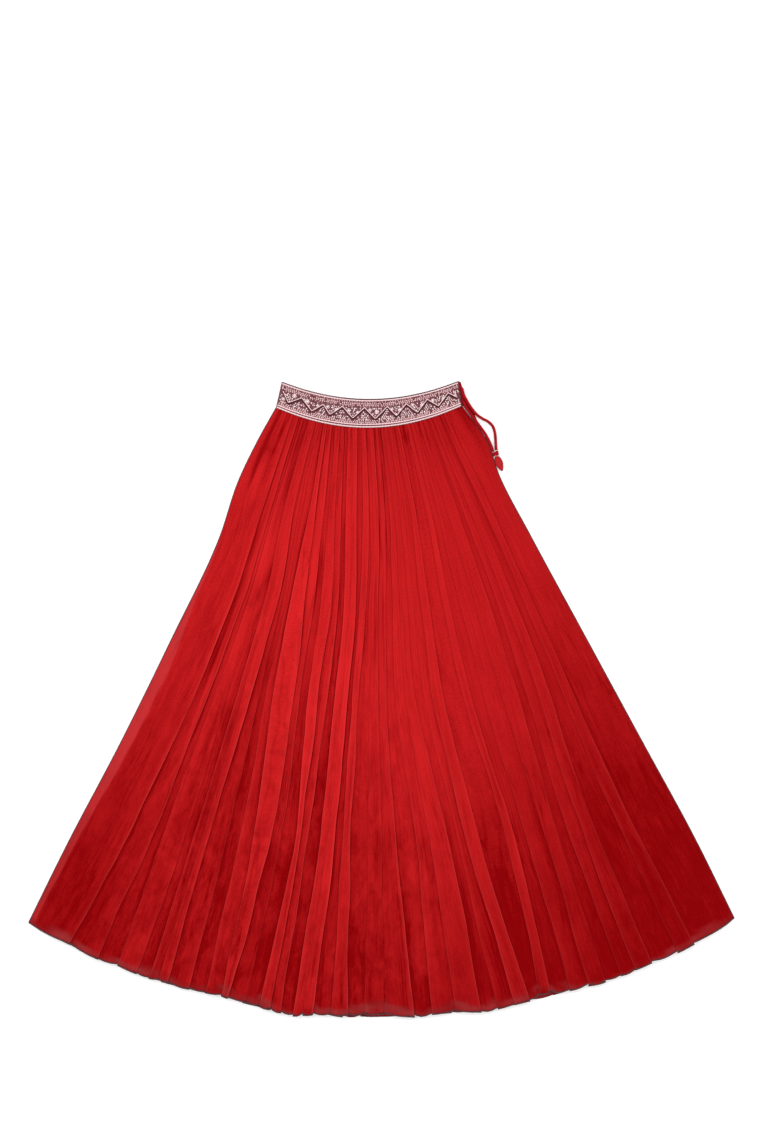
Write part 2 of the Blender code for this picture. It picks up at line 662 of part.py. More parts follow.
def build_skirt():
    for stale in list(bpy.data.objects):
        bpy.data.objects.remove(stale, do_unlink=True)
    silk = material("red_silk", (0.55, 0.010, 0.016), 0.42)
    lining = material("red_lining", (0.42, 0.006, 0.012), 0.55)
    beads = material("beaded_band", (0.45, 0.33, 0.34), 0.45)
    zari = material("zari", (0.66, 0.52, 0.53), 0.35, 0.6)
    cord = material("red_cord", (0.33, 0.006, 0.010), 0.5)
    pleated_piece("skirt_back", BACK_PLEATS, BACK_ROWS, back_line, silk)
    lining_piece("lining_back", lining, LINING_BACK_EDGE, LINING_BACK)
    lining_piece("lining_front", lining, LINING_FRONT_EDGE, LINING_FRONT)
    pleated_piece("skirt_front", FRONT_PLEATS, FRONT_ROWS, front_line, silk)
    band_piece("waistband_back", beads, lambda share, up: BAND_WALL / 2)
    band_piece("waistband_front", beads, band_front_z)
    zari_piece("zari_zigzag", zigzag_path(), ZARI_WIDTH, zari)
    for name, up in ROPE_PLACES.items():
        zari_piece(name, rope_path(up), ZARI_WIDTH, zari)
    placket_piece("side_placket", silk)
    dori_piece("dori_outer", DORI_OUTER, cord)
    dori_piece("dori_inner", DORI_INNER, cord)
    ringed_piece("dori_knot", KNOT_RINGS, cord)
    ringed_piece("dori_latkan", LATKAN_RINGS, cord)


build_skirt()
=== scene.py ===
"""A pleated lehenga skirt laid flat, front upwards: silk organza over lining, with a beaded band."""

from collections import namedtuple
from math import cos, pi, sin

import bpy
import numpy as np
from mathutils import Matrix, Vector


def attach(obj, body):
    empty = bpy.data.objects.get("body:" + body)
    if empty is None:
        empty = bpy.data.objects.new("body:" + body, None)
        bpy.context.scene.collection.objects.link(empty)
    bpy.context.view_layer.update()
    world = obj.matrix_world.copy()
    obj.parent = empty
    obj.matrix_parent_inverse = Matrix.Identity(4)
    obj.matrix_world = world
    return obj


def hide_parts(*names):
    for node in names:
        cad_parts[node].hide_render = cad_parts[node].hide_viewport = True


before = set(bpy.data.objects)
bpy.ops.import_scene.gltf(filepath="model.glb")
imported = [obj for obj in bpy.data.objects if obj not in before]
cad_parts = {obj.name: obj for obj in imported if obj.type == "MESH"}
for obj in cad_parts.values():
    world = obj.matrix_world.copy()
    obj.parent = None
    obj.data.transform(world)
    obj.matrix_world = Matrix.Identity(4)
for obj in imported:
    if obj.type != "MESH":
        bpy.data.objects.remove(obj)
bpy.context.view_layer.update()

MM = 0.001


# ---------------------------------------------------------------------------------------------
# The camera looks straight down on the skirt. It sees 1.96 m of the surface from top to bottom,
# with the skirt in the lower part of the frame.
# ---------------------------------------------------------------------------------------------
CAMERA_OVER = (0.0045, 0.2273)
CAMERA_HEIGHT = 3.6
SEEN_TOP_TO_BOTTOM = 1.9618
SENSOR_LONG_SIDE = 36.0

camera_data = bpy.data.cameras.new("camera_above")
camera_data.sensor_fit = "AUTO"
camera_data.sensor_width = SENSOR_LONG_SIDE
camera_data.lens = SENSOR_LONG_SIDE * CAMERA_HEIGHT / SEEN_TOP_TO_BOTTOM
camera = bpy.data.objects.new("camera_above", camera_data)
camera.location = (*CAMERA_OVER, CAMERA_HEIGHT)
bpy.context.scene.collection.objects.link(camera)
bpy.context.scene.camera = camera


# ---------------------------------------------------------------------------------------------
# The drawstring (dori): a tube of bias-cut red silk, turned right side out, 5.2 mm across. Its
# two strands leave the open end of the band, and a wrapped knot with a small stuffed leaf
# (latkan) holds them together. It lies on the opening's edge and on the surface.
# ---------------------------------------------------------------------------------------------
DORI_DIAMETER = 5.2 * MM
DORI_SIDES = 16
DORI_STEP = 0.8 * MM
CURVE_POINTS = 1000
Stop = namedtuple("Stop", "x y z")
DORI_OUTER = [
    Stop(0.1361, 0.5360, 0.0042),
    Stop(0.1388, 0.5360, 0.0042),
    Stop(0.1402, 0.5320, 0.0042),
    Stop(0.1424, 0.5245, 0.0042),
    Stop(0.1466, 0.5160, 0.0042),
    Stop(0.1516, 0.5075, 0.0042),
    Stop(0.1580, 0.4985, 0.0042),
    Stop(0.1655, 0.4900, 0.0040),
    Stop(0.1745, 0.4838, 0.0033),
    Stop(0.1838, 0.4790, 0.0027),
    Stop(0.1917, 0.4716, 0.0027),
    Stop(0.1957, 0.4610, 0.0027),
    Stop(0.1972, 0.4490, 0.0027),
    Stop(0.1978, 0.4380, 0.0029),
    Stop(0.1985, 0.4294, 0.0033),
]
DORI_INNER = [
    Stop(0.1396, 0.5118, 0.0042),
    Stop(0.1422, 0.5118, 0.0042),
    Stop(0.1444, 0.5072, 0.0042),
    Stop(0.1482, 0.5005, 0.0042),
    Stop(0.1541, 0.4925, 0.0042),
    Stop(0.1601, 0.4838, 0.0042),
    Stop(0.1668, 0.4745, 0.0042),
    Stop(0.1739, 0.4650, 0.0042),
    Stop(0.1800, 0.4560, 0.0036),
    Stop(0.1848, 0.4475, 0.0028),
    Stop(0.1889, 0.4380, 0.0028),
    Stop(0.1914, 0.4315, 0.0031),
    Stop(0.1928, 0.4266, 0.0033),
]


def curve_through(stops, values, at):
    """A smooth curve through (stop, value) pairs, read at one place or at many."""
    stops, values = np.asarray(stops, float), np.asarray(values, float)
    slopes = np.gradient(values, stops)
    k = np.clip(np.searchsorted(stops, at) - 1, 0, len(stops) - 2)
    step = stops[k + 1] - stops[k]
    u = (at - stops[k]) / step
    return (
        (2 * u**3 - 3 * u**2 + 1) * values[k]
        + (u**3 - 2 * u**2 + u) * step * slopes[k]
        + (3 * u**2 - 2 * u**3) * values[k + 1]
        + (u**3 - u**2) * step * slopes[k + 1]
    )


def run_along(path):
    """The distance from the start of a path to each of its points."""
    return np.concatenate([[0], np.cumsum(np.linalg.norm(np.diff(path, axis=0), axis=1))])


def points_at(places, stops, path):
    """The points of a path at the given places, where stops are the places of its own points."""
    return np.stack([np.interp(places, stops, values) for values in np.asarray(path, float).T], axis=1)


def smooth_route(stops, step):
    """Evenly spaced points along a smooth curve through the stops, and the curve's length."""
    points = np.array(stops, float)
    lengths = run_along(points)
    fine = np.linspace(0, lengths[-1], CURVE_POINTS)
    curve = np.stack([curve_through(lengths, values, fine) for values in points.T], axis=1)
    run = run_along(curve)
    even = np.linspace(0, run[-1], int(run[-1] / step) + 1)
    return points_at(even, run, curve), run[-1]


def lattice_noise(across, along, seed):
    """Smooth noise from -1 to 1 over two coordinates, one cell for each whole number."""
    a, b = np.asarray(across, float), np.asarray(along, float)
    i, j = np.floor(a).astype(int), np.floor(b).astype(int)
    u, v = a - i, b - j
    u, v = u * u * (3 - 2 * u), v * v * (3 - 2 * v)

    def corner(p, q):
        mixed = np.sin((i + p) * 127.1 + (j + q) * 311.7 + seed * 74.7) * 43758.5453
        return 2 * (mixed - np.floor(mixed)) - 1

    low = corner(0, 0) * (1 - u) + corner(1, 0) * u
    high = corner(0, 1) * (1 - u) + corner(1, 1) * u
    return low * (1 - v) + high * v


def new_piece(name, points, faces, finish):
    """A smooth mesh object from points and faces, riding on the skirt's one body."""
    data = bpy.data.meshes.new(name)
    data.from_pydata([tuple(p) for p in points], [], [tuple(f) for f in faces])
    data.update()
    data.shade_smooth()
    data.materials.append(finish)
    made = bpy.data.objects.new(name, data)
    bpy.context.scene.collection.objects.link(made)
    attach(made, "root")
    return made


def angles_round(sides):
    return 2 * pi * np.arange(sides) / sides


def directions_along(path):
    along = np.gradient(path, axis=0)
    return along / np.linalg.norm(along, axis=1)[:, None]


def tube_faces(rings, sides):
    """Faces that join ring after ring of points and close both ends."""
    faces = []
    for i in range(rings - 1):
        for k in range(sides):
            a, b = i * sides + k, i * sides + (k + 1) % sides
            faces.append((a, a + sides, b + sides, b))
    last = (rings - 1) * sides
    return faces + [[*range(sides)], [*range(last, last + sides)][::-1]]


def tube_mesh(path, radii, sides):
    """A tube round a level path. radii has one row for each point, or is the same all over."""
    along = directions_along(path)
    aside = np.cross(along, (0.0, 0.0, 1.0))
    aside /= np.linalg.norm(aside, axis=1)[:, None]
    over = np.cross(aside, along)
    angles = angles_round(sides)[None, :, None]
    ring = aside[:, None] * np.cos(angles) + over[:, None] * np.sin(angles)
    radii = np.broadcast_to(radii, (len(path), sides))
    points = path[:, None] + ring * radii[:, :, None]
    return points.reshape(-1, 3), tube_faces(len(path), sides)


WHITE = (1.0, 1.0, 1.0)


def shader_of(material):
    return material.node_tree.nodes["Principled BSDF"]


def node(material, kind, **settings):
    made = material.node_tree.nodes.new(kind)
    for name, value in settings.items():
        setattr(made, name, value)
    return made


def put(material, value, socket):
    """Links another node's output to an input, or sets the input to a number or a colour."""
    if isinstance(value, bpy.types.NodeSocket):
        material.node_tree.links.new(value, socket)
    else:
        socket.default_value = (*value, 1.0) if socket.type == "RGBA" else value


def feed(material, made, **inputs):
    """Puts values in a node's inputs by name."""
    for name, value in inputs.items():
        put(material, value, made.inputs[name.replace("_", " ")])
    return made


def mixed_colour(material, share, low, high):
    """A mix of two colours, low where share is 0 and high where it is 1."""
    mix = node(material, "ShaderNodeMix", data_type="RGBA")
    for number, value in ((0, share), (6, low), (7, high)):
        put(material, value, mix.inputs[number])
    return mix.outputs[2]


def maths(material, operation, first, second):
    """A number worked out from two others, each a plain one or a node's output."""
    made = node(material, "ShaderNodeMath", operation=operation)
    put(material, first, made.inputs[0])
    put(material, second, made.inputs[1])
    return made.outputs[0]


def noise_over(material, place, scale, detail, roughness=0.5, distortion=0.0):
    """Noise of one scale, or stretched with its own scale along each of three directions."""
    if isinstance(scale, tuple):
        mapping = node(material, "ShaderNodeMapping")
        place = feed(material, mapping, Vector=place, Scale=scale).outputs[0]
        scale = 1.0
    made = feed(
        material, node(material, "ShaderNodeTexNoise"),
        Vector=place, Scale=scale, Detail=detail, Roughness=roughness, Distortion=distortion,
    )
    return made.outputs["Fac"]


def object_places(material):
    return node(material, "ShaderNodeTexCoord").outputs["Object"]


def bumped(material, height, distance, strength):
    made = node(material, "ShaderNodeBump")
    return feed(material, made, Height=height, Distance=distance, Strength=strength)


def new_material(name, roughness, sheen=0.0, sheen_tint=WHITE, shine=0.5, shine_tint=WHITE):
    """A material whose sheen and shine are the same all over."""
    made = bpy.data.materials.new(name)
    made.use_nodes = True
    feed(
        made, shader_of(made), Roughness=roughness, Sheen_Weight=sheen, Sheen_Roughness=0.4,
        Sheen_Tint=sheen_tint, Specular_IOR_Level=shine, Specular_Tint=shine_tint,
    )
    return made


def finished(material, colour, relief):
    """Gives the shader its colour and its fine relief."""
    feed(material, shader_of(material), Base_Color=colour, Normal=relief.outputs[0])
    return material


SILK_SHINE = dict(sheen=0.02, sheen_tint=(1.0, 0.2, 0.2), shine=0.3, shine_tint=(1.0, 0.12, 0.12))


def bias_silk_material():
    """Bias-cut silk: dark red, with a fine slanting weave and a soft shine."""
    made = new_material("bias_silk", 0.42, **SILK_SHINE)
    place = object_places(made)
    weave = node(made, "ShaderNodeTexWave", wave_type="BANDS", bands_direction="DIAGONAL")
    weave = feed(made, weave, Vector=place, Scale=260.0, Distortion=1.5).outputs["Fac"]
    patches = noise_over(made, place, 90.0, 3.0)
    shade = maths(made, "MULTIPLY", weave, 0.35)
    shade = maths(made, "ADD", shade, maths(made, "MULTIPLY", patches, 0.65))
    colour = mixed_colour(made, shade, (0.17, 0.0005, 0.003), (0.40, 0.006, 0.010))
    return finished(made, colour, bumped(made, weave, 0.0001, 0.5))


bias_silk = bias_silk_material()
DORI_SEAM_ANGLE, DORI_SEAM_WIDTH = 0.8 * pi, 0.35
PUCKER_PITCH = 3 * MM


def dori(name, node_name, stops, seed):
    """One strand. Its seam is a low ridge, and the bias cloth puckers a little all along."""
    path, length = smooth_route(stops, DORI_STEP)
    angles = angles_round(DORI_SIDES)
    seam = np.exp(-(((angles - DORI_SEAM_ANGLE + pi) % (2 * pi) - pi) / DORI_SEAM_WIDTH) ** 2)
    run = np.linspace(0, length, len(path))
    pucker = lattice_noise(run[:, None] / PUCKER_PITCH, angles[None, :] * 1.2, seed)
    radii = DORI_DIAMETER / 2 * (0.965 + 0.05 * seam[None, :] + 0.03 * pucker)
    strand = new_piece(name, *tube_mesh(path, radii, DORI_SIDES), bias_silk)
    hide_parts(node_name)
    return strand, path, length


outer_strand, outer_path, outer_length = dori("dori_strand_outer", "dori_outer", DORI_OUTER, 1)
inner_strand, inner_path, inner_length = dori("dori_strand_inner", "dori_inner", DORI_INNER, 2)

# the knot: three turns of the same tube round both strands, in millimetres from its start
KNOT_START = (0.1958, 0.4272)
HANG_DIRECTION = (0.354, -0.935)
HANG_HEIGHT = 3.7
KNOT_TURNS = 3
KNOT_TURN_POINTS = 40
KNOT_FIRST, KNOT_LAST = 1.6, 7.1
KNOT_HALF_WIDTHS = (4.5, 3.6)
KNOT_HALF_HEIGHTS = (1.75, 1.45)
KNOT_TUBE, KNOT_SIDES = 1.55, 12


def along_hang(along, aside, z):
    """A place measured in millimetres along the hanging's line, to its side, and up."""
    dx, dy = HANG_DIRECTION
    x = KNOT_START[0] + (along * dx - aside * dy) * MM
    y = KNOT_START[1] + (along * dy + aside * dx) * MM
    return np.stack([x, y, z * MM + 0 * x], axis=-1)


def between(start, end, share):
    return start + (end - start) * share


def knot_path():
    """The tube's path round the strands, each turn a little smaller than the one before."""
    share = np.linspace(0, 1, KNOT_TURN_POINTS * KNOT_TURNS)
    angle = 2 * pi * KNOT_TURNS * share
    along = between(KNOT_FIRST, KNOT_LAST, share) + 0.4 * np.sin(angle)
    aside = between(*KNOT_HALF_WIDTHS, share) * np.cos(angle)
    return along_hang(along, aside, HANG_HEIGHT + between(*KNOT_HALF_HEIGHTS, share) * np.sin(angle))


def coil_mesh(path, radius, sides):
    """A tube round a path that turns every way, carried along without a twist."""
    along = directions_along(path)
    side = np.cross(along[0], (0, 0, 1.0))
    points = []
    for place, run in zip(path, along):
        side = side - run * np.dot(side, run)
        side /= np.linalg.norm(side)
        up = np.cross(side, run)
        for angle in angles_round(sides):
            points.append(place + (side * cos(angle) + up * sin(angle)) * radius)
    return points, tube_faces(len(path), sides)


knot = new_piece("dori_wrapped_knot", *coil_mesh(knot_path(), KNOT_TUBE * MM, KNOT_SIDES), bias_silk)
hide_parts("dori_knot")

# the leaf: two layers of silk stuffed with wadding, its edge bound with a thin cord
Ring = namedtuple("Ring", "along half_width half_height")
LEAF_RINGS = [
    Ring(8.9, 1.2, 1.0),
    Ring(9.8, 2.4, 1.8),
    Ring(12.0, 4.0, 2.6),
    Ring(15.5, 5.3, 3.1),
    Ring(20.0, 6.0, 3.2),
    Ring(25.0, 5.4, 3.0),
    Ring(30.0, 3.8, 2.4),
    Ring(34.0, 1.9, 1.6),
    Ring(36.0, 0.5, 0.6),
]
LEAF_SIDES = 24
LEAF_STEPS = 60
LEAF_BINDING, BINDING_SIDES, BINDING_STEPS = 0.75, 8, 50
LEAF_VEIN = 0.22
STITCH_PULL, STITCH_RATE = 0.03, 2.6


def leaf_sections(steps):
    """Places along the leaf, with its half widths and half heights there."""
    along, widths, heights = np.array(LEAF_RINGS).T
    places = np.linspace(along[0], along[-1], steps)
    return places, np.interp(places, along, widths), np.interp(places, along, heights)


def leaf_mesh():
    """A stitched vein runs down both faces of the leaf, and its edge draws in at each stitch."""
    angles = angles_round(LEAF_SIDES)
    vein = 1 - LEAF_VEIN * np.exp(-((np.cos(angles) / LEAF_VEIN) ** 2))
    points = []
    for along, width, height in zip(*leaf_sections(LEAF_STEPS)):
        pull = 1 + STITCH_PULL * np.sin(STITCH_RATE * along)
        up = HANG_HEIGHT + height * np.sin(angles) * vein
        points.append(along_hang(along + 0 * angles, width * pull * np.cos(angles), up))
    faces = [(a, d, c, b) for a, b, c, d in tube_faces(LEAF_STEPS, LEAF_SIDES)[:-2]]
    faces += [face[::-1] for face in tube_faces(LEAF_STEPS, LEAF_SIDES)[-2:]]
    return np.concatenate(points), faces


def textured_material(name, roughness, low, high, scale, detail, depth, strength, **shine):
    """One fine noise gives the colour, from low to high, and the relief."""
    made = new_material(name, roughness, **shine)
    texture = noise_over(made, object_places(made), scale, detail)
    return finished(made, mixed_colour(made, texture, low, high), bumped(made, texture, depth, strength))


leaf_silk = textured_material(
    "leaf_silk", 0.5, (0.26, 0.003, 0.006), (0.52, 0.022, 0.028),
    scale=160.0, detail=3.0, depth=0.0003, strength=0.6, **SILK_SHINE,
)
leaf = new_piece("dori_leaf", *leaf_mesh(), leaf_silk)
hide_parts("dori_latkan")


def leaf_binding_path():
    """Down one edge of the leaf and up the other."""
    out, widths, _ = leaf_sections(BINDING_STEPS)
    along = np.concatenate([out, out[-2::-1]])
    aside = np.concatenate([widths, -widths[-2::-1]])
    return along_hang(along, aside, np.full(len(along), HANG_HEIGHT))


binding_mesh = coil_mesh(leaf_binding_path(), LEAF_BINDING * MM, BINDING_SIDES)
leaf_binding = new_piece("dori_leaf_binding", *binding_mesh, bias_silk)


# ---------------------------------------------------------------------------------------------
# The front of the skirt: one length of sheer silk organza, laid in 39 knife pleats of uneven
# width, pressed flat and sewn into the band. A folded edge shows as a fine painted highlight,
# with painted shade on the cloth beside it as well as the real shade of the pleats' relief.
# Beyond the lining the cloth is single and paler.
# ---------------------------------------------------------------------------------------------
SEAM_ABOVE_ORIGIN = 0.4667
SEAM_LEFT_RISE = 0.0353
SEAM_RIGHT_RISE = 0.0387
DROP_MIDDLE = 1.0149
DROP_LEFT = 0.8893
DROP_RIGHT = 0.8849

CLOTH = 1.0 * MM
LAYER = 1.35 * MM
SLACK = 0.15 * MM
LINING_INSET_WAIST, LINING_INSET_HEM = 0.007, 0.016
SHOULDER_WAIST, SHOULDER_HEM = 0.024, 0.056
LEAST_TUCK = 1.4 * MM
LEAST_PLEAT = 4.6 * MM
TUCK_SHARE = 0.28

Section = namedtuple("Section", "down left right")
SECTIONS = [
    Section(0.00, -0.1823, 0.1394),
    Section(0.06, -0.2121, 0.1784),
    Section(0.14, -0.2464, 0.2052),
    Section(0.25, -0.2792, 0.2562),
    Section(0.45, -0.3631, 0.3522),
    Section(0.65, -0.4505, 0.4482),
    Section(0.85, -0.5439, 0.5443),
    Section(1.00, -0.6097, 0.6097),
]

# Where each folded edge lies, as a percentage of the way across at six heights. lap is +1 where
# the cloth on its left lies on top. tuck is the hidden cloth at the hem and drop how far the hem
# hangs there, in millimetres.
Pleat = namedtuple("Pleat", "waist hip thigh knee calf hem lap tuck drop")
PLEAT_HEIGHTS = (0.0, 0.14, 0.30, 0.45, 0.70, 1.0)
FRONT_PLEATS = [
    Pleat(9.5, 11.4, 9.9, 9.7, 8.0, 5.9, +1, 14, -1.5),
    Pleat(12.4, 13.9, 12.1, 11.9, 11.2, 9.8, +1, 12, 2.0),
    Pleat(14.2, 15.2, 13.5, 13.1, 12.4, 12.7, -1, 9, -2.0),
    Pleat(16.2, 16.7, 15.6, 15.6, 16.0, 15.4, +1, 8, 0.0),
    Pleat(17.8, 18.2, 17.8, 17.7, 17.4, 17.1, -1, 14, 0.0),
    Pleat(19.4, 19.8, 19.4, 18.9, 18.6, 18.5, -1, 8, -2.0),
    Pleat(21.4, 21.9, 21.4, 20.6, 19.9, 19.7, +1, 14, -2.0),
    Pleat(22.6, 23.4, 22.5, 22.2, 22.7, 22.8, +1, 8, -2.0),
    Pleat(24.0, 25.1, 23.5, 23.7, 24.8, 25.0, -1, 8, -1.5),
    Pleat(25.8, 27.4, 24.7, 25.3, 27.1, 27.3, -1, 12, -5.0),
    Pleat(27.6, 29.7, 28.9, 30.0, 30.3, 28.4, +1, 14, -3.0),
    Pleat(30.2, 32.8, 31.5, 31.4, 32.0, 30.9, +1, 8, -2.0),
    Pleat(32.2, 34.6, 33.4, 33.3, 34.4, 32.8, -1, 12, -3.0),
    Pleat(34.6, 36.9, 36.8, 35.8, 35.4, 34.3, +1, 8, 0.0),
    Pleat(37.0, 39.2, 38.8, 38.1, 36.6, 35.8, +1, 10, 3.0),
    Pleat(38.8, 41.0, 40.4, 39.7, 38.9, 37.4, -1, 12, 5.0),
    Pleat(41.6, 43.2, 42.2, 41.3, 40.3, 38.9, -1, 7, 3.0),
    Pleat(43.8, 45.1, 43.9, 42.8, 41.7, 40.3, +1, 14, 0.0),
    Pleat(45.8, 47.4, 45.2, 43.8, 43.0, 42.9, -1, 6, -1.0),
    Pleat(48.2, 49.7, 47.0, 45.4, 44.5, 45.2, +1, 10, -2.0),
    Pleat(50.2, 51.5, 48.9, 47.9, 47.6, 47.6, -1, 7, -4.0),
    Pleat(52.2, 53.4, 50.6, 50.0, 50.2, 50.3, +1, 10, -5.0),
    Pleat(54.6, 55.9, 53.0, 51.9, 52.8, 54.6, +1, 14, 0.0),
    Pleat(56.4, 57.6, 54.9, 54.0, 56.2, 57.1, -1, 10, -1.0),
    Pleat(58.4, 59.4, 57.0, 56.4, 58.9, 60.6, -1, 8, -1.0),
    Pleat(60.4, 61.2, 59.2, 58.6, 62.3, 64.1, +1, 14, 5.0),
    Pleat(62.2, 63.2, 61.1, 60.8, 63.7, 66.4, -1, 8, 4.0),
    Pleat(64.0, 65.4, 63.2, 62.9, 65.3, 68.9, -1, 9, 4.0),
    Pleat(66.2, 67.4, 65.6, 65.4, 67.6, 70.9, +1, 14, 4.0),
    Pleat(69.8, 71.0, 69.6, 69.6, 72.2, 72.5, -1, 8, -4.0),
    Pleat(71.8, 72.9, 71.4, 71.4, 73.6, 73.9, +1, 10, -3.0),
    Pleat(74.4, 75.2, 74.2, 74.4, 75.6, 76.7, -1, 9, 3.0),
    Pleat(77.2, 78.2, 78.2, 78.3, 78.8, 79.3, -1, 12, 6.0),
    Pleat(80.6, 81.9, 82.0, 82.0, 81.0, 81.8, +1, 12, 6.0),
    Pleat(82.4, 83.6, 83.9, 83.7, 82.8, 83.8, -1, 7, 7.0),
    Pleat(84.4, 85.8, 86.2, 86.0, 84.9, 86.0, -1, 12, 9.0),
    Pleat(86.8, 88.2, 88.6, 88.4, 87.0, 88.4, +1, 10, 7.0),
    Pleat(88.8, 90.2, 90.6, 90.5, 90.4, 92.0, -1, 9, 7.0),
    Pleat(91.2, 92.8, 93.0, 92.8, 92.6, 94.4, +1, 10, 5.0),
]

# How each stretch between two folded edges looks, from the left seam on: its tone at four
# heights, partly painted light and shade from how it tilts and partly the layers behind it, from
# -3, deep, to +3, bright, and how plainly the folded edge on its right shows at three heights,
# from 0 to 9
Look = namedtuple("Look", "waist hip knee hem line_hip line_knee line_hem")
LIGHT_HEIGHTS = (0.04, 0.24, 0.50, 0.90)
LINE_HEIGHTS = (0.16, 0.45, 0.85)
FRONT_LOOKS = [
    Look(0, 0, -1, -2, 7, 9, 8),
    Look(0, 1, 1, -2, 8, 9, 5),
    Look(1, 2, 1, -1, 5, 1, 2),
    Look(-1, 2, 1, 0, 1, 0, 2),
    Look(-3, 0, 0, -1, 3, 5, 6),
    Look(-1, 2, -1, -1, 1, 1, 2),
    Look(1, 2, 1, 0, 5, 9, 7),
    Look(0, 0, -3, 1, 2, 3, 5),
    Look(1, 1, -2, -3, 2, 3, 4),
    Look(0, -1, -1, 0, 7, 8, 4),
    Look(1, 2, 2, 0, 8, 9, 8),
    Look(0, 2, -1, -2, 6, 6, 1),
    Look(0, 0, -2, -3, 2, 6, 7),
    Look(0, 1, 2, 1, 4, 8, 7),
    Look(0, 0, 0, 0, 6, 8, 6),
    Look(1, -1, -2, -2, 5, 8, 7),
    Look(1, 2, 3, 1, 1, 1, 1),
    Look(1, 2, 3, 1, 7, 9, 9),
    Look(0, 0, -1, -1, 4, 7, 3),
    Look(1, 1, 1, -1, 5, 7, 8),
    Look(1, 2, 0, -2, 2, 0, 1),
    Look(0, 1, 0, -2, 6, 4, 1),
    Look(0, 1, 1, -1, 5, 5, 9),
    Look(1, 1, 1, 0, 5, 2, 5),
    Look(0, 1, 1, 1, 3, 1, 3),
    Look(0, 0, 1, 1, 2, 2, 7),
    Look(0, 1, 1, 1, 1, 1, 3),
    Look(0, 0, 1, 1, 3, 3, 8),
    Look(0, 1, 1, 2, 5, 3, 6),
    Look(0, 0, 0, -2, 3, 2, 4),
    Look(0, 1, 1, 2, 3, 2, 5),
    Look(0, 0, 0, 0, 2, 2, 3),
    Look(-1, 0, 1, 1, 2, 1, 4),
    Look(0, 0, 0, 0, 3, 3, 2),
    Look(-1, -1, -1, -1, 2, 2, 3),
    Look(0, 0, 0, 0, 2, 2, 4),
    Look(-1, 0, 0, 0, 2, 3, 3),
    Look(0, -1, -1, 0, 3, 2, 2),
    Look(-1, -1, -1, -1, 3, 3, 5),
    Look(0, 0, -1, -1, 0, 0, 0),
]


def ease(share):
    share = np.clip(share, 0.0, 1.0)
    return share * share * (3 - 2 * share)


def side_edges(down):
    stops, left, right = zip(*SECTIONS)
    return float(curve_through(stops, left, down)), float(curve_through(stops, right, down))


def skirt_y(x, down, left, right):
    """Height on the page of a point of the skirt: each section hangs in a shallow curve."""
    share = (x - left) / (right - left)
    left_y = SEAM_LEFT_RISE - DROP_LEFT * down
    right_y = SEAM_RIGHT_RISE - DROP_RIGHT * down
    sag = (left_y + right_y) / 2 + DROP_MIDDLE * down
    return SEAM_ABOVE_ORIGIN + between(left_y, right_y, share) - sag * 4 * share * (1 - share)


def lining_inset(down):
    return between(LINING_INSET_WAIST, LINING_INSET_HEM, down)


def climb(distance, down):
    """Share of the way up the stack, at a distance from the nearer side seam."""
    inset = lining_inset(down)
    return ease((distance - inset) / (between(SHOULDER_WAIST, SHOULDER_HEM, down) - inset))


BACK_OUTER = CLOTH / 2
FRONT_SEAM = BACK_OUTER + LAYER
FRONT_OVER_LINING = BACK_OUTER + 3 * LAYER + SLACK
FRONT_INNER = BACK_OUTER + 5 * LAYER + SLACK


def front_base(distance, down):
    """Height of the front's innermost layer, from the side seam inwards."""
    off_the_seam = np.minimum(1.0, distance / lining_inset(down))
    return (
        between(FRONT_SEAM, FRONT_OVER_LINING, off_the_seam)
        + (FRONT_INNER - FRONT_OVER_LINING) * climb(distance, down)
    )


PRESSED_RELIEF_WAIST, PRESSED_RELIEF_HEM = 0.8 * MM, 2.4 * MM


def front_top(down):
    """How high a folded edge of the front stands over the cloth beside it."""
    return float(between(PRESSED_RELIEF_WAIST, PRESSED_RELIEF_HEM, ease(down)))


SPREAD_ROUNDS = 60
VALLEY_ROOM = 0.75


def spread(places, laps, room):
    """Moves folded edges apart where the cloth would cross itself."""
    for _ in range(SPREAD_ROUNDS):
        for k in range(len(places) - 1):
            valley = laps[k] > 0 > laps[k + 1]
            wanted = room * (VALLEY_ROOM if valley else 1.0)
            short = wanted - (places[k + 1] - places[k])
            if short > 0:
                places[k] -= short / 2
                places[k + 1] += short / 2
    return places


def folded_edges(pleats, down, left, right):
    """Where each pleat's folded edge lies at this height, and how deep its tuck is."""
    across = []
    for k, pleat in enumerate(pleats):
        places = [between(*side_edges(h), share / 100) for h, share in zip(PLEAT_HEIGHTS, pleat)]
        wander = lattice_noise(2.7 * k, down / 0.10 + 1.9 * k, 31)
        wander = wander + 0.3 * lattice_noise(3.1 * k, down / 0.035, 33)
        wander = wander * between(0.3, 1.9, ease(down / 0.45)) * MM
        across.append(float(curve_through(PLEAT_HEIGHTS, places, down)) + float(wander))
    across = spread(across, [pleat.lap for pleat in pleats], LEAST_PLEAT)
    ends = [left] + across + [right]
    tucks = []
    for k, pleat in enumerate(pleats):
        over = ends[k + 1] - ends[k] if pleat.lap > 0 else ends[k + 2] - ends[k + 1]
        wanted = between(2.0, pleat.tuck, down) * MM
        tucks.append(max(LEAST_TUCK, min(wanted, TUCK_SHARE * over)))
    return ends, tucks


# A groove inside a pleat, where the cloth is gathered or creased: the pleat, its place across it,
# the height of its deepest point, how far it runs up and down, its half width and its depth
Groove = namedtuple("Groove", "panel share middle reach width depth")


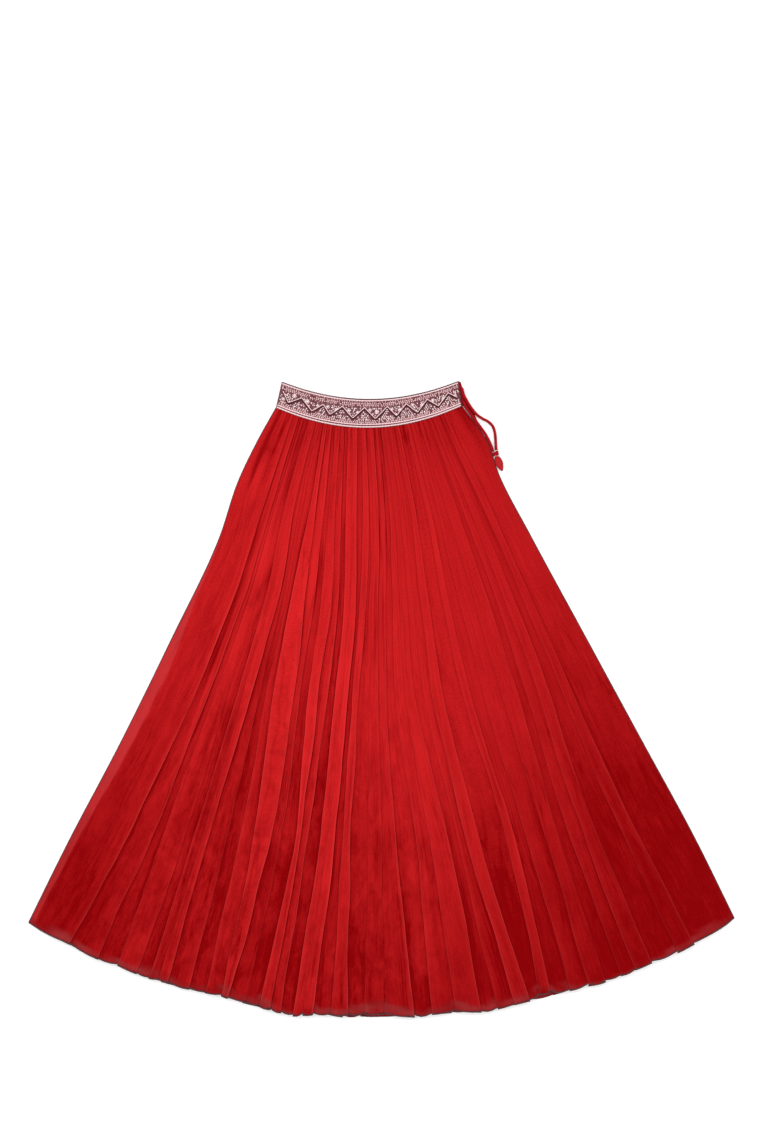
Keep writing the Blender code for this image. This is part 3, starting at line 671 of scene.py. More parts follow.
def seeded_grooves(panels, seed):
    """Gathers that fade out below the band, and long soft creases lower down."""
    chance = np.random.default_rng(seed)
    grooves = []
    for panel in range(panels):
        for _ in range(int(chance.integers(1, 4))):
            reach, width, depth = chance.uniform((0.10, 0.07, 0.4), (0.45, 0.14, 1.0))
            grooves.append(Groove(panel, chance.uniform(0.15, 0.85), 0.0, reach, width, depth))
        for _ in range(int(chance.integers(1, 3))):
            reach, width, depth, middle = chance.uniform((0.12, 0.05, 0.2, 0.3), (0.4, 0.16, 0.9, 1.05))
            grooves.append(Groove(panel, chance.uniform(0.12, 0.88), middle, reach, width, depth))
    return grooves


# creases inside a pleat that are plainly seen, most of them beside the middle
HAND_GROOVES = [
    Groove(1, 0.45, 0.38, 0.30, 0.13, 1.8),
    Groove(10, 0.30, 0.20, 0.14, 0.05, 1.2),
    Groove(19, 0.55, 0.62, 0.12, 0.14, 1.6),
    Groove(20, 0.40, 0.28, 0.14, 0.05, 1.4),
    Groove(21, 0.35, 0.30, 0.14, 0.08, 1.6),
    Groove(22, 0.60, 0.30, 0.12, 0.08, 1.2),
    Groove(12, 0.50, 0.22, 0.10, 0.07, 1.2),
    Groove(14, 0.50, 0.24, 0.10, 0.09, 1.2),
    Groove(3, 0.75, 0.62, 0.20, 0.10, 0.9),
]


def groove_depth(grooves, panel, share, down):
    """Depth of all the grooves of a stretch of cloth together, at each share of its width."""
    depth = np.zeros_like(share)
    for groove in grooves:
        if groove.panel == panel:
            fade = 1 - ease(abs(down - groove.middle) / groove.reach)
            depth += groove.depth * fade * np.exp(-(((share - groove.share) / groove.width) ** 2))
    return depth


# Places where the cloth looks deeper because it touches its lining, or paler because it stands
# off, and a diagonal run of four that paints the shadow of a crumple: percentage across, share of
# the way down, half sizes in the same units, change of tone
Patch = namedtuple("Patch", "across down half_across half_down change")
FRONT_PATCHES = [
    Patch(3.0, 0.04, 0.6, 0.040, -0.30),
    Patch(3.8, 0.11, 0.6, 0.040, -0.26),
    Patch(6.0, 0.07, 3.2, 0.008, -0.22),
    Patch(5.0, 0.12, 2.4, 0.030, 0.14),
    Patch(15.6, 0.05, 1.2, 0.040, -0.30),
    Patch(17.4, 0.11, 1.0, 0.040, -0.24),
    Patch(14.5, 0.24, 1.6, 0.040, 0.16),
    Patch(17.3, 0.272, 0.8, 0.016, -0.30),
    Patch(16.5, 0.295, 1.0, 0.016, -0.36),
    Patch(15.4, 0.318, 1.0, 0.014, -0.36),
    Patch(14.2, 0.338, 0.9, 0.010, -0.26),
    Patch(14.5, 0.42, 1.6, 0.050, 0.14),
    Patch(16.0, 0.53, 2.0, 0.030, -0.26),
    Patch(17.8, 0.62, 1.8, 0.110, -0.20),
    Patch(16.0, 0.72, 1.6, 0.030, -0.16),
    Patch(22.5, 0.42, 1.4, 0.060, -0.20),
    Patch(23.0, 0.80, 1.0, 0.120, -0.14),
    Patch(26.8, 0.33, 1.6, 0.060, 0.10),
    Patch(27.0, 0.62, 1.0, 0.030, -0.14),
    Patch(30.2, 0.27, 1.0, 0.060, 0.20),
    Patch(30.2, 0.48, 0.5, 0.040, 0.24),
    Patch(32.0, 0.55, 1.0, 0.100, -0.16),
    Patch(33.0, 0.78, 2.0, 0.050, -0.24),
    Patch(31.6, 0.92, 1.4, 0.070, -0.20),
    Patch(38.2, 0.60, 1.2, 0.050, -0.30),
    Patch(38.4, 0.72, 1.2, 0.030, -0.16),
    Patch(35.0, 0.12, 1.0, 0.060, -0.16),
    Patch(41.0, 0.40, 1.6, 0.090, 0.10),
    Patch(40.4, 0.78, 1.2, 0.100, 0.12),
    Patch(47.0, 0.66, 2.4, 0.030, -0.14),
    Patch(49.0, 0.58, 2.0, 0.040, -0.22),
    Patch(50.5, 0.72, 2.0, 0.040, -0.16),
    Patch(47.5, 0.90, 3.0, 0.080, -0.16),
    Patch(52.5, 0.86, 1.6, 0.070, -0.12),
    Patch(57.0, 0.88, 2.0, 0.050, 0.12),
    Patch(59.0, 0.63, 3.0, 0.060, 0.14),
    Patch(64.0, 0.90, 3.0, 0.060, -0.10),
    Patch(67.0, 0.68, 0.8, 0.080, 0.16),
    Patch(70.0, 0.80, 1.6, 0.140, -0.20),
    Patch(73.4, 0.76, 0.7, 0.100, 0.18),
    Patch(77.0, 0.80, 2.2, 0.080, -0.10),
    Patch(84.5, 0.80, 0.8, 0.140, 0.10),
    Patch(88.0, 0.72, 2.0, 0.120, -0.10),
]


# Creases that run between or across the folds: their path as percentage across at up to five
# heights, half width in millimetres, rise in millimetres (a trough is below 0), change of tone,
# which is painted shade along a trough and painted light along a ridge
Crease = namedtuple("Crease", "across down half_width rise change")
CREASES = [
    Crease((11.0, 10.5, 10.3, 10.3, 9.2), (0.10, 0.20, 0.32, 0.44, 0.58), 2.6, -0.8, -0.38),
    Crease((9.8, 9.4, 9.4, 9.3), (0.14, 0.28, 0.42, 0.54), 3.0, 0.6, 0.16),
    Crease((11.4, 11.0, 10.9, 10.5), (0.18, 0.32, 0.48, 0.66), 2.4, 0.6, 0.22),
    Crease((11.9, 11.6, 11.5, 10.8, 10.2), (0.20, 0.32, 0.55, 0.74, 0.88), 2.4, -0.6, -0.26),
    Crease((2.9, 3.2, 4.3), (0.01, 0.07, 0.15), 3.0, -0.8, -0.34),
    Crease((36.6, 37.2, 37.5), (0.03, 0.08, 0.15), 2.0, -0.5, -0.32),
    Crease((49.7, 49.4), (0.31, 0.42), 2.0, -0.6, -0.42),
    Crease((50.5, 50.1, 49.8), (0.24, 0.30, 0.38), 1.8, -0.4, -0.30),
    Crease((52.2, 51.9, 51.8), (0.26, 0.34, 0.44), 1.8, -0.4, -0.32),
    Crease((53.6, 52.7), (0.14, 0.24), 1.8, -0.5, -0.36),
    Crease((54.5, 54.6), (0.05, 0.12), 1.5, -0.4, -0.34),
    Crease((55.4, 55.6), (0.07, 0.14), 1.5, -0.4, -0.30),
    Crease((55.9, 54.6), (0.15, 0.25), 1.8, -0.5, -0.32),
    Crease((47.0, 46.7, 46.2), (0.20, 0.30, 0.42), 2.2, -0.6, -0.30),
    Crease((40.5, 39.8, 39.1), (0.13, 0.22, 0.34), 2.2, -0.6, -0.30),
    Crease((33.1, 32.4, 31.2, 30.5), (0.18, 0.25, 0.31, 0.37), 2.6, -0.8, -0.40),
    Crease((18.4, 18.0, 17.6), (0.33, 0.40, 0.48), 1.8, 0.5, 0.22),
    Crease((22.4, 22.6, 22.4), (0.50, 0.66, 0.84), 3.5, -0.6, -0.18),
    Crease((34.0, 34.5, 34.8), (0.45, 0.60, 0.74), 2.4, 0.6, 0.18),
    Crease((56.2, 56.5, 56.8), (0.56, 0.68, 0.82), 2.4, -0.5, -0.24),
    Crease((14.0, 12.9, 12.6), (0.15, 0.22, 0.32), 2.4, 0.5, 0.20),
    Crease((61.8, 62.8, 63.8, 64.2), (0.60, 0.72, 0.82, 0.94), 2.6, -0.6, -0.22),
    Crease((78.2, 78.6, 79.4), (0.64, 0.78, 0.92), 3.0, -0.5, -0.16),
    Crease((6.6, 6.2, 5.6), (0.46, 0.60, 0.74), 5.0, 0.5, 0.08),
]


def crease_shape(crease, x, down, left, right):
    """How much of the crease is felt at each x: 1 along its middle, fading at its ends."""
    start, end = crease.down[0], crease.down[-1]
    fade = ease((down - start) / (0.3 * (end - start))) * ease((end - down) / (0.3 * (end - start)))
    if not start < down < end:
        return 0 * x
    middle = between(left, right, float(curve_through(crease.down, crease.across, down)) / 100)
    return fade * np.exp(-(((x - middle) / (crease.half_width * MM)) ** 2))


def painted_broad_light(share, down):
    """Painted broad light and shade, with some of the cloth's own deeper colour at the sides: brightest
    over the hips, deepening towards the sides, the hem and just below the band.
    """
    aside = np.abs(share - 0.42) / 0.58
    sides = 0.40 * aside**1.5 * between(0.45, 1.0, ease(down / 0.8))
    low = 0.31 * ease((down - 0.4) / 0.6)
    painted_shade_below_band = 0.10 * (1 - ease(down / 0.12))
    far_right = 0.06 * ease((share - 0.55) / 0.4) * ease((down - 0.4) / 0.4)
    at_hem = 0.11 * ease((down - 0.88) / 0.12) * ease((share - 0.35) / 0.2)
    return 0.70 - sides - low - painted_shade_below_band - far_right - at_hem


COLUMN_PITCH = 4 * MM


def panel_places(width, count):
    """Distances across a panel, even but for two close ones beside each folded edge."""
    near, next_near = min(0.9 * MM, 0.07 * width), min(2.2 * MM, 0.17 * width)
    inner = np.linspace(next_near, width - next_near, count - 4)
    return np.concatenate([[0, near], inner, [width - near, width]])


def panel_height(away, width, lifts, tucks, top):
    """Height across one panel. lifts says whether it starts and ends on a folded edge."""
    crown = np.sin(pi * away / width)
    low_reach = 0.05 * width
    if lifts == (True, True):
        return top * (1 - 0.20 * crown)
    if lifts == (False, False):
        return 0.34 * top * crown
    if lifts[1]:
        rise = ease((away - low_reach) / (width - low_reach - tucks[1]))
    else:
        rise = ease((width - low_reach - away) / (width - low_reach - tucks[0]))
    return top * (rise + 0.08 * crown)


def fold_cloth(edge, tuck, lap, top):
    """The cloth goes round its folded edge, back underneath and round again. Its x and height."""
    under = edge - lap * tuck
    places = [
        (edge - lap * 0.10 * MM, 0.84 * top),
        (edge - lap * 0.45 * MM, 0.66 * top),
        (under + lap * 0.5 * MM, 0.52 * top),
        (under, 0.32 * top),
        (under + lap * 0.5 * MM, 0.08 * top),
    ]
    return np.array(places if lap > 0 else places[::-1])


def light_of(look, down):
    """Change of tone of one stretch of cloth at this height: partly painted light and shade from its
    tilt, partly the layers behind it.
    """
    amount = between(0.060, 0.041, ease((down - 0.30) / 0.5))
    return amount * float(curve_through(LIGHT_HEIGHTS, look[:4], np.clip(down, *LIGHT_HEIGHTS[::3])))


def blended_light(looks, k, marks, share, down):
    """Tone across one stretch. Where a folded edge hardly shows, it runs into its neighbour's."""
    own = light_of(looks[k], down)
    tone = own + 0 * share
    for beside, mark, from_fold in ((k - 1, marks[0], share), (k + 1, marks[1], 1 - share)):
        if 0 <= beside < len(looks):
            faint = 1 - ease(1.6 * mark - 0.1)
            near = 1 - ease(from_fold / 0.6)
            tone = tone + 0.5 * faint * near * (light_of(looks[beside], down) - own)
    return tone


def fold_mark(look, number, down):
    """How plainly a folded edge shows at this height, from 0 to about 1, and never quite evenly."""
    plain = np.interp(down, LINE_HEIGHTS, look[4:]) / 9
    uneven = float(lattice_noise(1.7 * number, down / 0.11 + 5.3 * number, 29))
    return plain * (0.85 + 0.4 * uneven)


def painted_edge_light(down):
    """Strength of the fine painted highlight along a folded edge: half near the band, full from the
    thigh.
    """
    return 0.5 + 0.5 * ease((down - 0.2) / 0.4)


def beside_fold(from_fold, mark, lifted, down):
    """Change of tone and painted highlight beside a folded edge, by the distance from it.

    The side that lies on top is painted brighter, and a fine painted highlight runs along it. The
    side below is painted in its shade, with a dark painted line where the two meet.
    """
    soft_reach = between(2.2, 11.0, ease(down)) * MM
    if lifted:
        light = mark * painted_edge_light(down) * np.exp(-from_fold / (1.2 * MM))
        return 0.12 * mark * np.exp(-from_fold / soft_reach), light
    line_width = between(1.4, 2.5, ease(down / 0.7)) * MM
    soft = between(0.12, 0.22, down) * np.exp(-((from_fold / (1.4 * soft_reach)) ** 1.5))
    dark = between(0.80, 0.34, ease(down / 0.6)) * np.exp(-((from_fold / line_width) ** 2))
    return -mark * (soft + dark), 0.0


def hem_droop(number, share, lifts):
    """How much lower the hem hangs between two folded edges and beside an upper one, in mm."""
    uneven = 1 + 0.8 * lattice_noise(4.3 * number, 0.5, 37)
    droop = 1.6 * uneven * np.sin(pi * share)
    for lifted, from_fold in zip(lifts, (share, 1 - share)):
        droop = droop + (1.3 if lifted else -1.3) * uneven * (1 - from_fold) ** 3
    return droop


def folded_part(edge, tuck, pleat, top, mark, down, run):
    """The points of one folded edge and of the tuck under it, in the order of the row, with painted shade
    under the edge and a painted highlight along it.
    """
    tones = mark * np.array([0.0, -0.25, -0.50, -0.50, -0.50])
    lines = mark * painted_edge_light(down) * np.array([0.9, 0.3, 0.0, 0.0, 0.0])
    if pleat.lap < 0:
        tones, lines = tones[::-1], lines[::-1]
    runs = run + np.linspace(0.1, 1.0, len(tones)) * 2 * pleat.tuck * MM
    return np.column_stack([fold_cloth(edge, tuck, pleat.lap, top), tones, lines, runs, 0 * runs])


FOLD_GAP = 0.3 * MM
FAINT_FOLD = 0.40
GROOVE_RELIEF = 0.30
BROAD_PLEAT = 18 * MM


def pleated_row(pleats, counts, hem_ends, down, top, outer_first, grooves, looks):
    """One row of pleated cloth: each point's x, height, tone with painted light and shade, painted
    folded-edge highlight, run and hem droop.
    """
    ends, tucks = folded_edges(pleats, down, *side_edges(down))
    marks = [0.0] + [fold_mark(looks[k], k, down) for k in range(len(pleats))] + [0.0]
    # a folded edge that hardly shows is pressed flatter than the others
    plain = [between(FAINT_FOLD, 1.0, min(1.0, mark)) for mark in marks]
    tucks = [0.0] + tucks + [0.0]
    gaps = [0.0] + [FOLD_GAP] * len(pleats) + [0.0]
    row, run = [], 0.0
    for k, count in enumerate(counts):
        lifts = (
            pleats[k - 1].lap < 0 if k > 0 else outer_first,
            pleats[k].lap > 0 if k < len(pleats) else outer_first,
        )
        start = ends[k] + gaps[k]
        width = ends[k + 1] - gaps[k + 1] - start
        away = panel_places(width, count)
        share = away / width
        z = panel_height(away, width, lifts, tucks[k:k + 2], top) * between(*plain[k:k + 2], share)
        depth = groove_depth(grooves, k, share, down) * np.sin(pi * share)
        z = z - GROOVE_RELIEF * top * min(1.0, width / BROAD_PLEAT) * depth
        # painted shade along the grooves, which are also sunk in the cloth
        tone = blended_light(looks, k, marks[k:k + 2], share, down) - between(0.30, 0.20, down) * depth
        line = 0 * away
        for lifted, mark, from_fold in zip(lifts, marks[k:k + 2], (away, width - away)):
            change, light = beside_fold(from_fold, mark, lifted, down)
            tone, line = tone + change, line + light
        cloth = hem_ends[k + 1] - hem_ends[k]
        droop = hem_droop(k, share, lifts) * MM
        row.append(np.column_stack([start + away, z, tone, line, run + share * cloth, droop]))
        run += cloth
        if k < len(pleats):
            height = top * plain[k + 1]
            row.append(folded_part(ends[k + 1], tucks[k + 1], pleats[k], height, marks[k + 1], down, run))
            run += 2 * pleats[k].tuck * MM
    return np.concatenate(row).T, ends


HEM_STEP, HEM_STEP_REACH = 2.8 * MM, 0.035
FLUTE_DEPTH = 2.4 * MM


def waves(run, from_side, down):
    """Long soft waves and small crinkles, as a factor of the cloth's height."""
    wave = 0.18 * lattice_noise(run / 0.030, down / 0.16, 3) * ease(down / 0.2)
    wave = wave + 0.09 * lattice_noise(run / 0.011, down / 0.05, 5)
    return 1 + wave * ease(from_side / 0.02)


def hem_hang(pleats, ends, x, right, down):
    """How far the cloth hangs below its even line, with a small step near the right seam."""
    drops = [0.0] + [pleat.drop * MM for pleat in pleats] + [0.0]
    from_right = right - x
    step = HEM_STEP * ease((from_right - 6 * MM) / (3 * MM)) * np.exp(-from_right / HEM_STEP_REACH)
    return ease((down - 0.6) / 0.4) * np.interp(x, ends, drops) + step * ease((down - 0.9) / 0.1)


def hem_flutes(run, share, droop, down):
    """The small scallops of the hem, and its sag between the folded edges."""
    scallop = lattice_noise(run / 0.060, 0, 9) + 0.35 * lattice_noise(run / 0.019, 0, 10)
    flute = ease((down - 0.86) / 0.14) * FLUTE_DEPTH * scallop * between(0.7, 1.1, share)
    return flute + ease((down - 0.84) / 0.16) * droop


def patched_tone(share, run, down, patches):
    """Tone of the cloth by itself: painted broad light and shade, small unevenness, and the patches, some
    of them painted shadow.
    """
    tone = painted_broad_light(share, down) + 0.05 * lattice_noise(run / 0.034, down / 0.07, 11)
    tone = tone + 0.05 * lattice_noise(run / 0.006, down / 0.30, 17)
    for patch in patches:
        apart = ((100 * share - patch.across) / patch.half_across) ** 2
        apart = apart + ((down - patch.down) / patch.half_down) ** 2
        tone = tone + patch.change * np.exp(-apart)
    return tone


# the strips of single cloth: the width of the one beside the left seam, in millimetres, at nine
# heights, and the depth of the one along the hem, which goes up and down
STRIP_HEIGHTS = (0.22, 0.37, 0.45, 0.52, 0.58, 0.66, 0.75, 0.85, 1.0)
STRIP_WIDTHS = (1.0, 6.0, 15.0, 19.0, 19.0, 15.5, 12.5, 10.5, 7.5)
HEM_STRIP_DEPTH, HEM_STRIP_UNEVEN = 9, 7


def side_strip(from_left, down):
    """1 on the single cloth beside the left seam, 0 where there is lining behind."""
    ragged = 1 + 0.12 * lattice_noise(0, down / 0.05, 19)
    width = np.interp(down, STRIP_HEIGHTS, STRIP_WIDTHS) * MM * ragged
    return (1 - ease(0.5 + (from_left - width) / (2.0 * MM))) * ease((down - 0.22) / 0.08)


def hem_strip(run, hang, down):
    """1 on the single cloth below the lining's hem, whose edge isn't quite even."""
    depth = (HEM_STRIP_DEPTH + HEM_STRIP_UNEVEN * lattice_noise(run / 0.045, 0, 23)) * MM
    return 1 - ease(((1 - down) * DROP_MIDDLE + hang - depth) / (6 * MM))


def sheerness(run, beside, below, down):
    """How sheer the cloth looks, on the strip beside the seam and on the one along the hem."""
    uneven = np.clip(0.55 + 0.55 * lattice_noise(run / 0.024, down / 0.014, 27), 0, 1)
    return np.maximum(between(0.70, 0.45, ease((down - 0.6) / 0.3)) * beside, 0.9 * uneven * below)


def mottling(share, down):
    """How unevenly the cloth takes the light, in clouds and in painted crinkle shade and pinched lines:
    less near the band and towards both sides.
    """
    mottled = between(0.35, 1.0, ease((down - 0.15) / 0.55))
    mottled = mottled * (1 - 0.65 * ease((share - 0.50) / 0.20))
    return mottled * (1 - 0.50 * ease((0.13 - share) / 0.08) * ease((down - 0.3) / 0.3))


LEAST_COLUMNS, MOST_COLUMNS = 8, 22
CREASE_RELIEF = 0.6
BRIGHTEST = 1.3


def pleated_cloth(pleats, rows, top_of, height_of, outer_first, grooves, looks, patches, creases):
    """Points, colour data and texture places of a pleated length of cloth, row by row.

    Each column follows a pleat from the waist to the hem. The colour data is the tone, from 0,
    deep, to 1, bright, which carries painted light and shade, how sheer the cloth is, the painted
    highlight along a folded edge, and how mottled it is.
    """
    hem_ends, _ = folded_edges(pleats, 1.0, *side_edges(1.0))
    counts = np.round(np.diff(hem_ends) / COLUMN_PITCH).astype(int)
    counts = np.clip(counts, LEAST_COLUMNS, MOST_COLUMNS)
    if not outer_first:
        counts[0] *= 2
    points, data, places = [], [], []
    for down in np.linspace(0, 1, rows):
        left, right = side_edges(down)
        top = top_of(down)
        (x, z, shade, line, run, droop), ends = pleated_row(
            pleats, counts, hem_ends, down, top, outer_first, grooves, looks
        )
        share = (x - left) / (right - left)
        from_side = np.clip(np.minimum(x - left, right - x), 0, None)
        z = z * waves(run, from_side, down)
        tone = patched_tone(share, run, down, patches) + shade
        # each crease raises or sinks the cloth, with painted light along a ridge and painted shade along
        # a trough
        for crease in creases:
            felt = crease_shape(crease, x, down, left, right)
            z = z + CREASE_RELIEF * crease.rise * MM * felt * z / top
            tone = tone + crease.change * felt
        hang = hem_hang(pleats, ends, x, right, down)
        flute = hem_flutes(run, share, droop, down) * ease(from_side / 0.02)
        y = skirt_y(x, down, left, right) - hang - flute
        points.append(np.column_stack([x, y, height_of(z, from_side, down)]))

        beside, below = side_strip(x - left, down), hem_strip(run, hang, down)
        paler = 0.28 * ease((down - 0.35) / 0.35) - 0.10 * ease((down - 0.65) / 0.2)
        tone = tone - 0.34 * below + paler * beside * (1 - below)
        sheer = sheerness(run, beside, below, down)
        tone = np.clip(tone, 0, BRIGHTEST)
        data.append(np.column_stack([tone, sheer, line, mottling(share, down)]))
        places.append(np.column_stack([run, down * DROP_MIDDLE + 0 * x]))
    return np.array(points), np.array(data), np.array(places)


def grid_faces(rows, columns, flip=False):
    faces = []
    for i in range(rows - 1):
        for j in range(columns - 1):
            a = i * columns + j
            face = (a, a + columns, a + columns + 1, a + 1)
            faces.append(face[::-1] if flip else face)
    return faces


def cloth_piece(name, points, data, places, finish, flip=False):
    """A sheet with its tones kept as colour data, and its run of cloth as texture places."""
    rows, columns = points.shape[:2]
    made = new_piece(name, points.reshape(-1, 3), grid_faces(rows, columns, flip), finish)
    layer = made.data.color_attributes.new("cloth_tone", "FLOAT_COLOR", "POINT")
    layer.data.foreach_set("color", data.astype(np.float32).ravel())
    corners = np.zeros(len(made.data.loops), np.int32)
    made.data.loops.foreach_get("vertex_index", corners)
    texture = made.data.uv_layers.new(name="along_the_cloth")
    texture.data.foreach_set("uv", places.reshape(-1, 2).astype(np.float32)[corners].ravel())
    return made


def ramp_between(material, source, low, high):
    """A number from 0 to 1 as the source goes from low to high."""
    made = node(material, "ShaderNodeMapRange", clamp=True)
    return feed(material, made, Value=source, From_Min=low, From_Max=high).outputs[0]


def painted_pinch_shade(made, place, mottled):
    """1 along the thin wandering lines of painted shade where the cloth is pinched, in some places only.
    """
    noise = noise_over(made, place, (80.0, 4.5, 1.0), 2.0, 0.5, 0.4)
    off_middle = maths(made, "ABSOLUTE", maths(made, "SUBTRACT", noise, 0.5), 0.0)
    thin = maths(made, "SUBTRACT", 1.0, maths(made, "MULTIPLY", off_middle, 26.0))
    here = ramp_between(made, noise_over(made, place, (32.0, 3.4, 1.0), 1.0), 0.44, 0.62)
    lines = maths(made, "MULTIPLY", ramp_between(made, thin, 0.0, 1.0), here)
    return maths(made, "MULTIPLY", lines, ramp_between(made, mottled, 0.15, 0.36))


def painted_gather_shade(made, place, down):
    """Short ticks of painted shade between the gathers, just below the band."""
    ticks = ramp_between(made, noise_over(made, place, (95.0, 15.0, 1.0), 2.0), 0.52, 0.62)
    near_band = maths(made, "SUBTRACT", 1.0, ramp_between(made, down, 0.004, 0.060))
    return maths(made, "MULTIPLY", ticks, maths(made, "MULTIPLY", near_band, 0.42))


def silk_material(name, deep, bright, deep_sheer, bright_sheer, edge):
    """Silk: fine weave, crinkles along the pleats, clouds where it clings to its lining, and painted
    light and shade: the tone data, the crinkles and gathers, pinched lines, ticks below the band and a
    highlight along folded edges.
    """
    made = new_material(
        name, 0.48, sheen=0.015, sheen_tint=(1.0, 0.05, 0.05), shine=0.26, shine_tint=(1.0, 0.03, 0.04)
    )
    data = node(made, "ShaderNodeVertexColor", layer_name="cloth_tone")
    mottled = data.outputs["Alpha"]
    parts = feed(made, node(made, "ShaderNodeSeparateColor"), Color=data.outputs["Color"])
    tone, sheer, line = parts.outputs
    place = node(made, "ShaderNodeUVMap", uv_map="along_the_cloth").outputs[0]
    down = feed(made, node(made, "ShaderNodeSeparateXYZ"), Vector=place).outputs[1]
    low_down = ramp_between(made, down, 0.15, 0.70)

    # each noise is as fine as its scales say, across and along the cloth, per metre
    threads = noise_over(made, place, (900.0, 26.0, 1.0), 3.0, 0.6)
    crinkle = noise_over(made, place, (170.0, 60.0, 1.0), 4.0, 0.65)
    gathers = noise_over(made, place, (260.0, 12.0, 1.0), 3.0, 0.6)
    speckle = noise_over(made, place, (420.0, 330.0, 1.0), 2.0, 0.6)
    cloud = noise_over(made, place, (42.0, 20.0, 1.0), 4.0, 0.6, 0.8)

    # the gathers and the speckle are weaker low down, the crinkles and clouds on smooth cloth
    cloud = maths(made, "MULTIPLY", maths(made, "SUBTRACT", cloud, 0.5), mottled)
    tone = maths(made, "ADD", tone, maths(made, "MULTIPLY", cloud, 0.90))
    # painted shade: thin pinched lines, and short ticks between the gathers below the band
    pinched = painted_pinch_shade(made, place, mottled)
    tone = maths(made, "SUBTRACT", tone, maths(made, "MULTIPLY", pinched, 0.30))
    tone = maths(made, "SUBTRACT", tone, painted_gather_shade(made, place, down))
    # the crinkles and gathers paint the light and shade of their relief into the tone; the weave and the
    # speckle are the cloth's own grain
    crinkled = maths(made, "ADD", 0.12, maths(made, "MULTIPLY", mottled, 0.38))
    gathered = maths(made, "SUBTRACT", 1.0, maths(made, "MULTIPLY", low_down, 0.55))
    uneven = maths(made, "ADD", 0.6, maths(made, "MULTIPLY", mottled, 0.4))
    gathered = maths(made, "MULTIPLY", gathered, uneven)
    grain = maths(made, "SUBTRACT", 0.95, maths(made, "MULTIPLY", low_down, 0.55))
    for texture, amount in ((threads, 0.22), (crinkle, crinkled), (gathers, gathered), (speckle, grain)):
        change = maths(made, "MULTIPLY", maths(made, "SUBTRACT", texture, 0.5), amount)
        tone = maths(made, "ADD", tone, change)
    tone = ramp_between(made, tone, -0.04, 1.0)

    colour = mixed_colour(made, tone, deep, bright)
    # painted highlight along each folded edge
    colour = mixed_colour(made, maths(made, "MULTIPLY", line, 0.55), colour, edge)
    colour = mixed_colour(made, sheer, colour, mixed_colour(made, tone, deep_sheer, bright_sheer))
    relief = bumped(made, threads, 0.0002, 0.5)
    feed(made, relief, Normal=bumped(made, crinkle, 0.0012, 0.6).outputs[0])
    return finished(made, colour, relief)


# the tone mixes each cloth between a deep and a bright colour, so these carry painted light and shade as
# well as the cloth's own deeper and paler parts
RED_DEEP, RED_BRIGHT = (0.200, 0.0001, 0.0010), (0.555, 0.0132, 0.0148)
SHEER_DEEP, SHEER_BRIGHT = (0.265, 0.026, 0.028), (0.560, 0.030, 0.033)
# the colour of the painted highlight along folded edges
FOLDED_EDGE_HIGHLIGHT = (0.66, 0.045, 0.045)
organza = silk_material("organza", RED_DEEP, RED_BRIGHT, SHEER_DEEP, SHEER_BRIGHT, FOLDED_EDGE_HIGHLIGHT)

FRONT_ROWS = 150


def front_height(z, from_side, down):
    """The cloth lies in the upper part of the room that its three layers take."""
    lift = 0.7 * LAYER * ease(from_side / (12 * MM))
    return front_base(from_side, down) + lift + np.maximum(z, 0) * ease(from_side / (5 * MM))


front_points, front_data, front_places = pleated_cloth(
    FRONT_PLEATS, FRONT_ROWS, front_top, front_height, False,
    HAND_GROOVES + seeded_grooves(len(FRONT_LOOKS), 7), FRONT_LOOKS, FRONT_PATCHES, CREASES,
)
front_cloth = cloth_piece("front_pleats", front_points, front_data, front_places, organza)
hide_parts("skirt_front")


# the hem is rolled and oversewn by machine in dark red: a thin roll that follows every fold
HEM_ROLL = 1.35 * MM
ROLL_SIDES = 6
HEM_DEEP, HEM_BRIGHT = (0.022, 0.001, 0.003), (0.115, 0.004, 0.009)
SEAM_DEEP, SEAM_BRIGHT = (0.035, 0.001, 0.003), (0.140, 0.004, 0.008)
STITCHES = dict(scale=700.0, detail=2.0, depth=0.0003, strength=0.8)
overlock_thread = textured_material("overlock_thread", 0.6, HEM_DEEP, HEM_BRIGHT, **STITCHES)
seam_thread = textured_material("seam_thread", 0.6, SEAM_DEEP, SEAM_BRIGHT, **STITCHES)


def hem_roll(name, edge, radius):
    """A roll along an edge, above the surface, with a point at every 0.6 radius or more."""
    path = edge.copy()
    path[:, 2] = np.maximum(path[:, 2], radius)
    kept = [0]
    for j in range(1, len(path)):
        if np.linalg.norm(path[j] - path[kept[-1]]) > 0.6 * radius:
            kept.append(j)
    roll = new_piece(name, *coil_mesh(path[kept], radius, ROLL_SIDES), overlock_thread)
    return roll


front_hem = hem_roll("front_rolled_hem", front_points[-1], HEM_ROLL)

# the side seams are French seams: a narrow fold of both layers, turned to the back
SEAM_ROLL = 1.05 * MM
SEAM_BELOW = 0.6 * MM
SIDES = (("left_side_seam", 0, seam_thread), ("right_side_seam", -1, overlock_thread))
for name, column, finish in SIDES:
    path = front_points[:, column].copy()
    path[:, 2] = FRONT_SEAM - SEAM_BELOW
    seam = new_piece(name, *coil_mesh(path, SEAM_ROLL, ROLL_SIDES), finish)


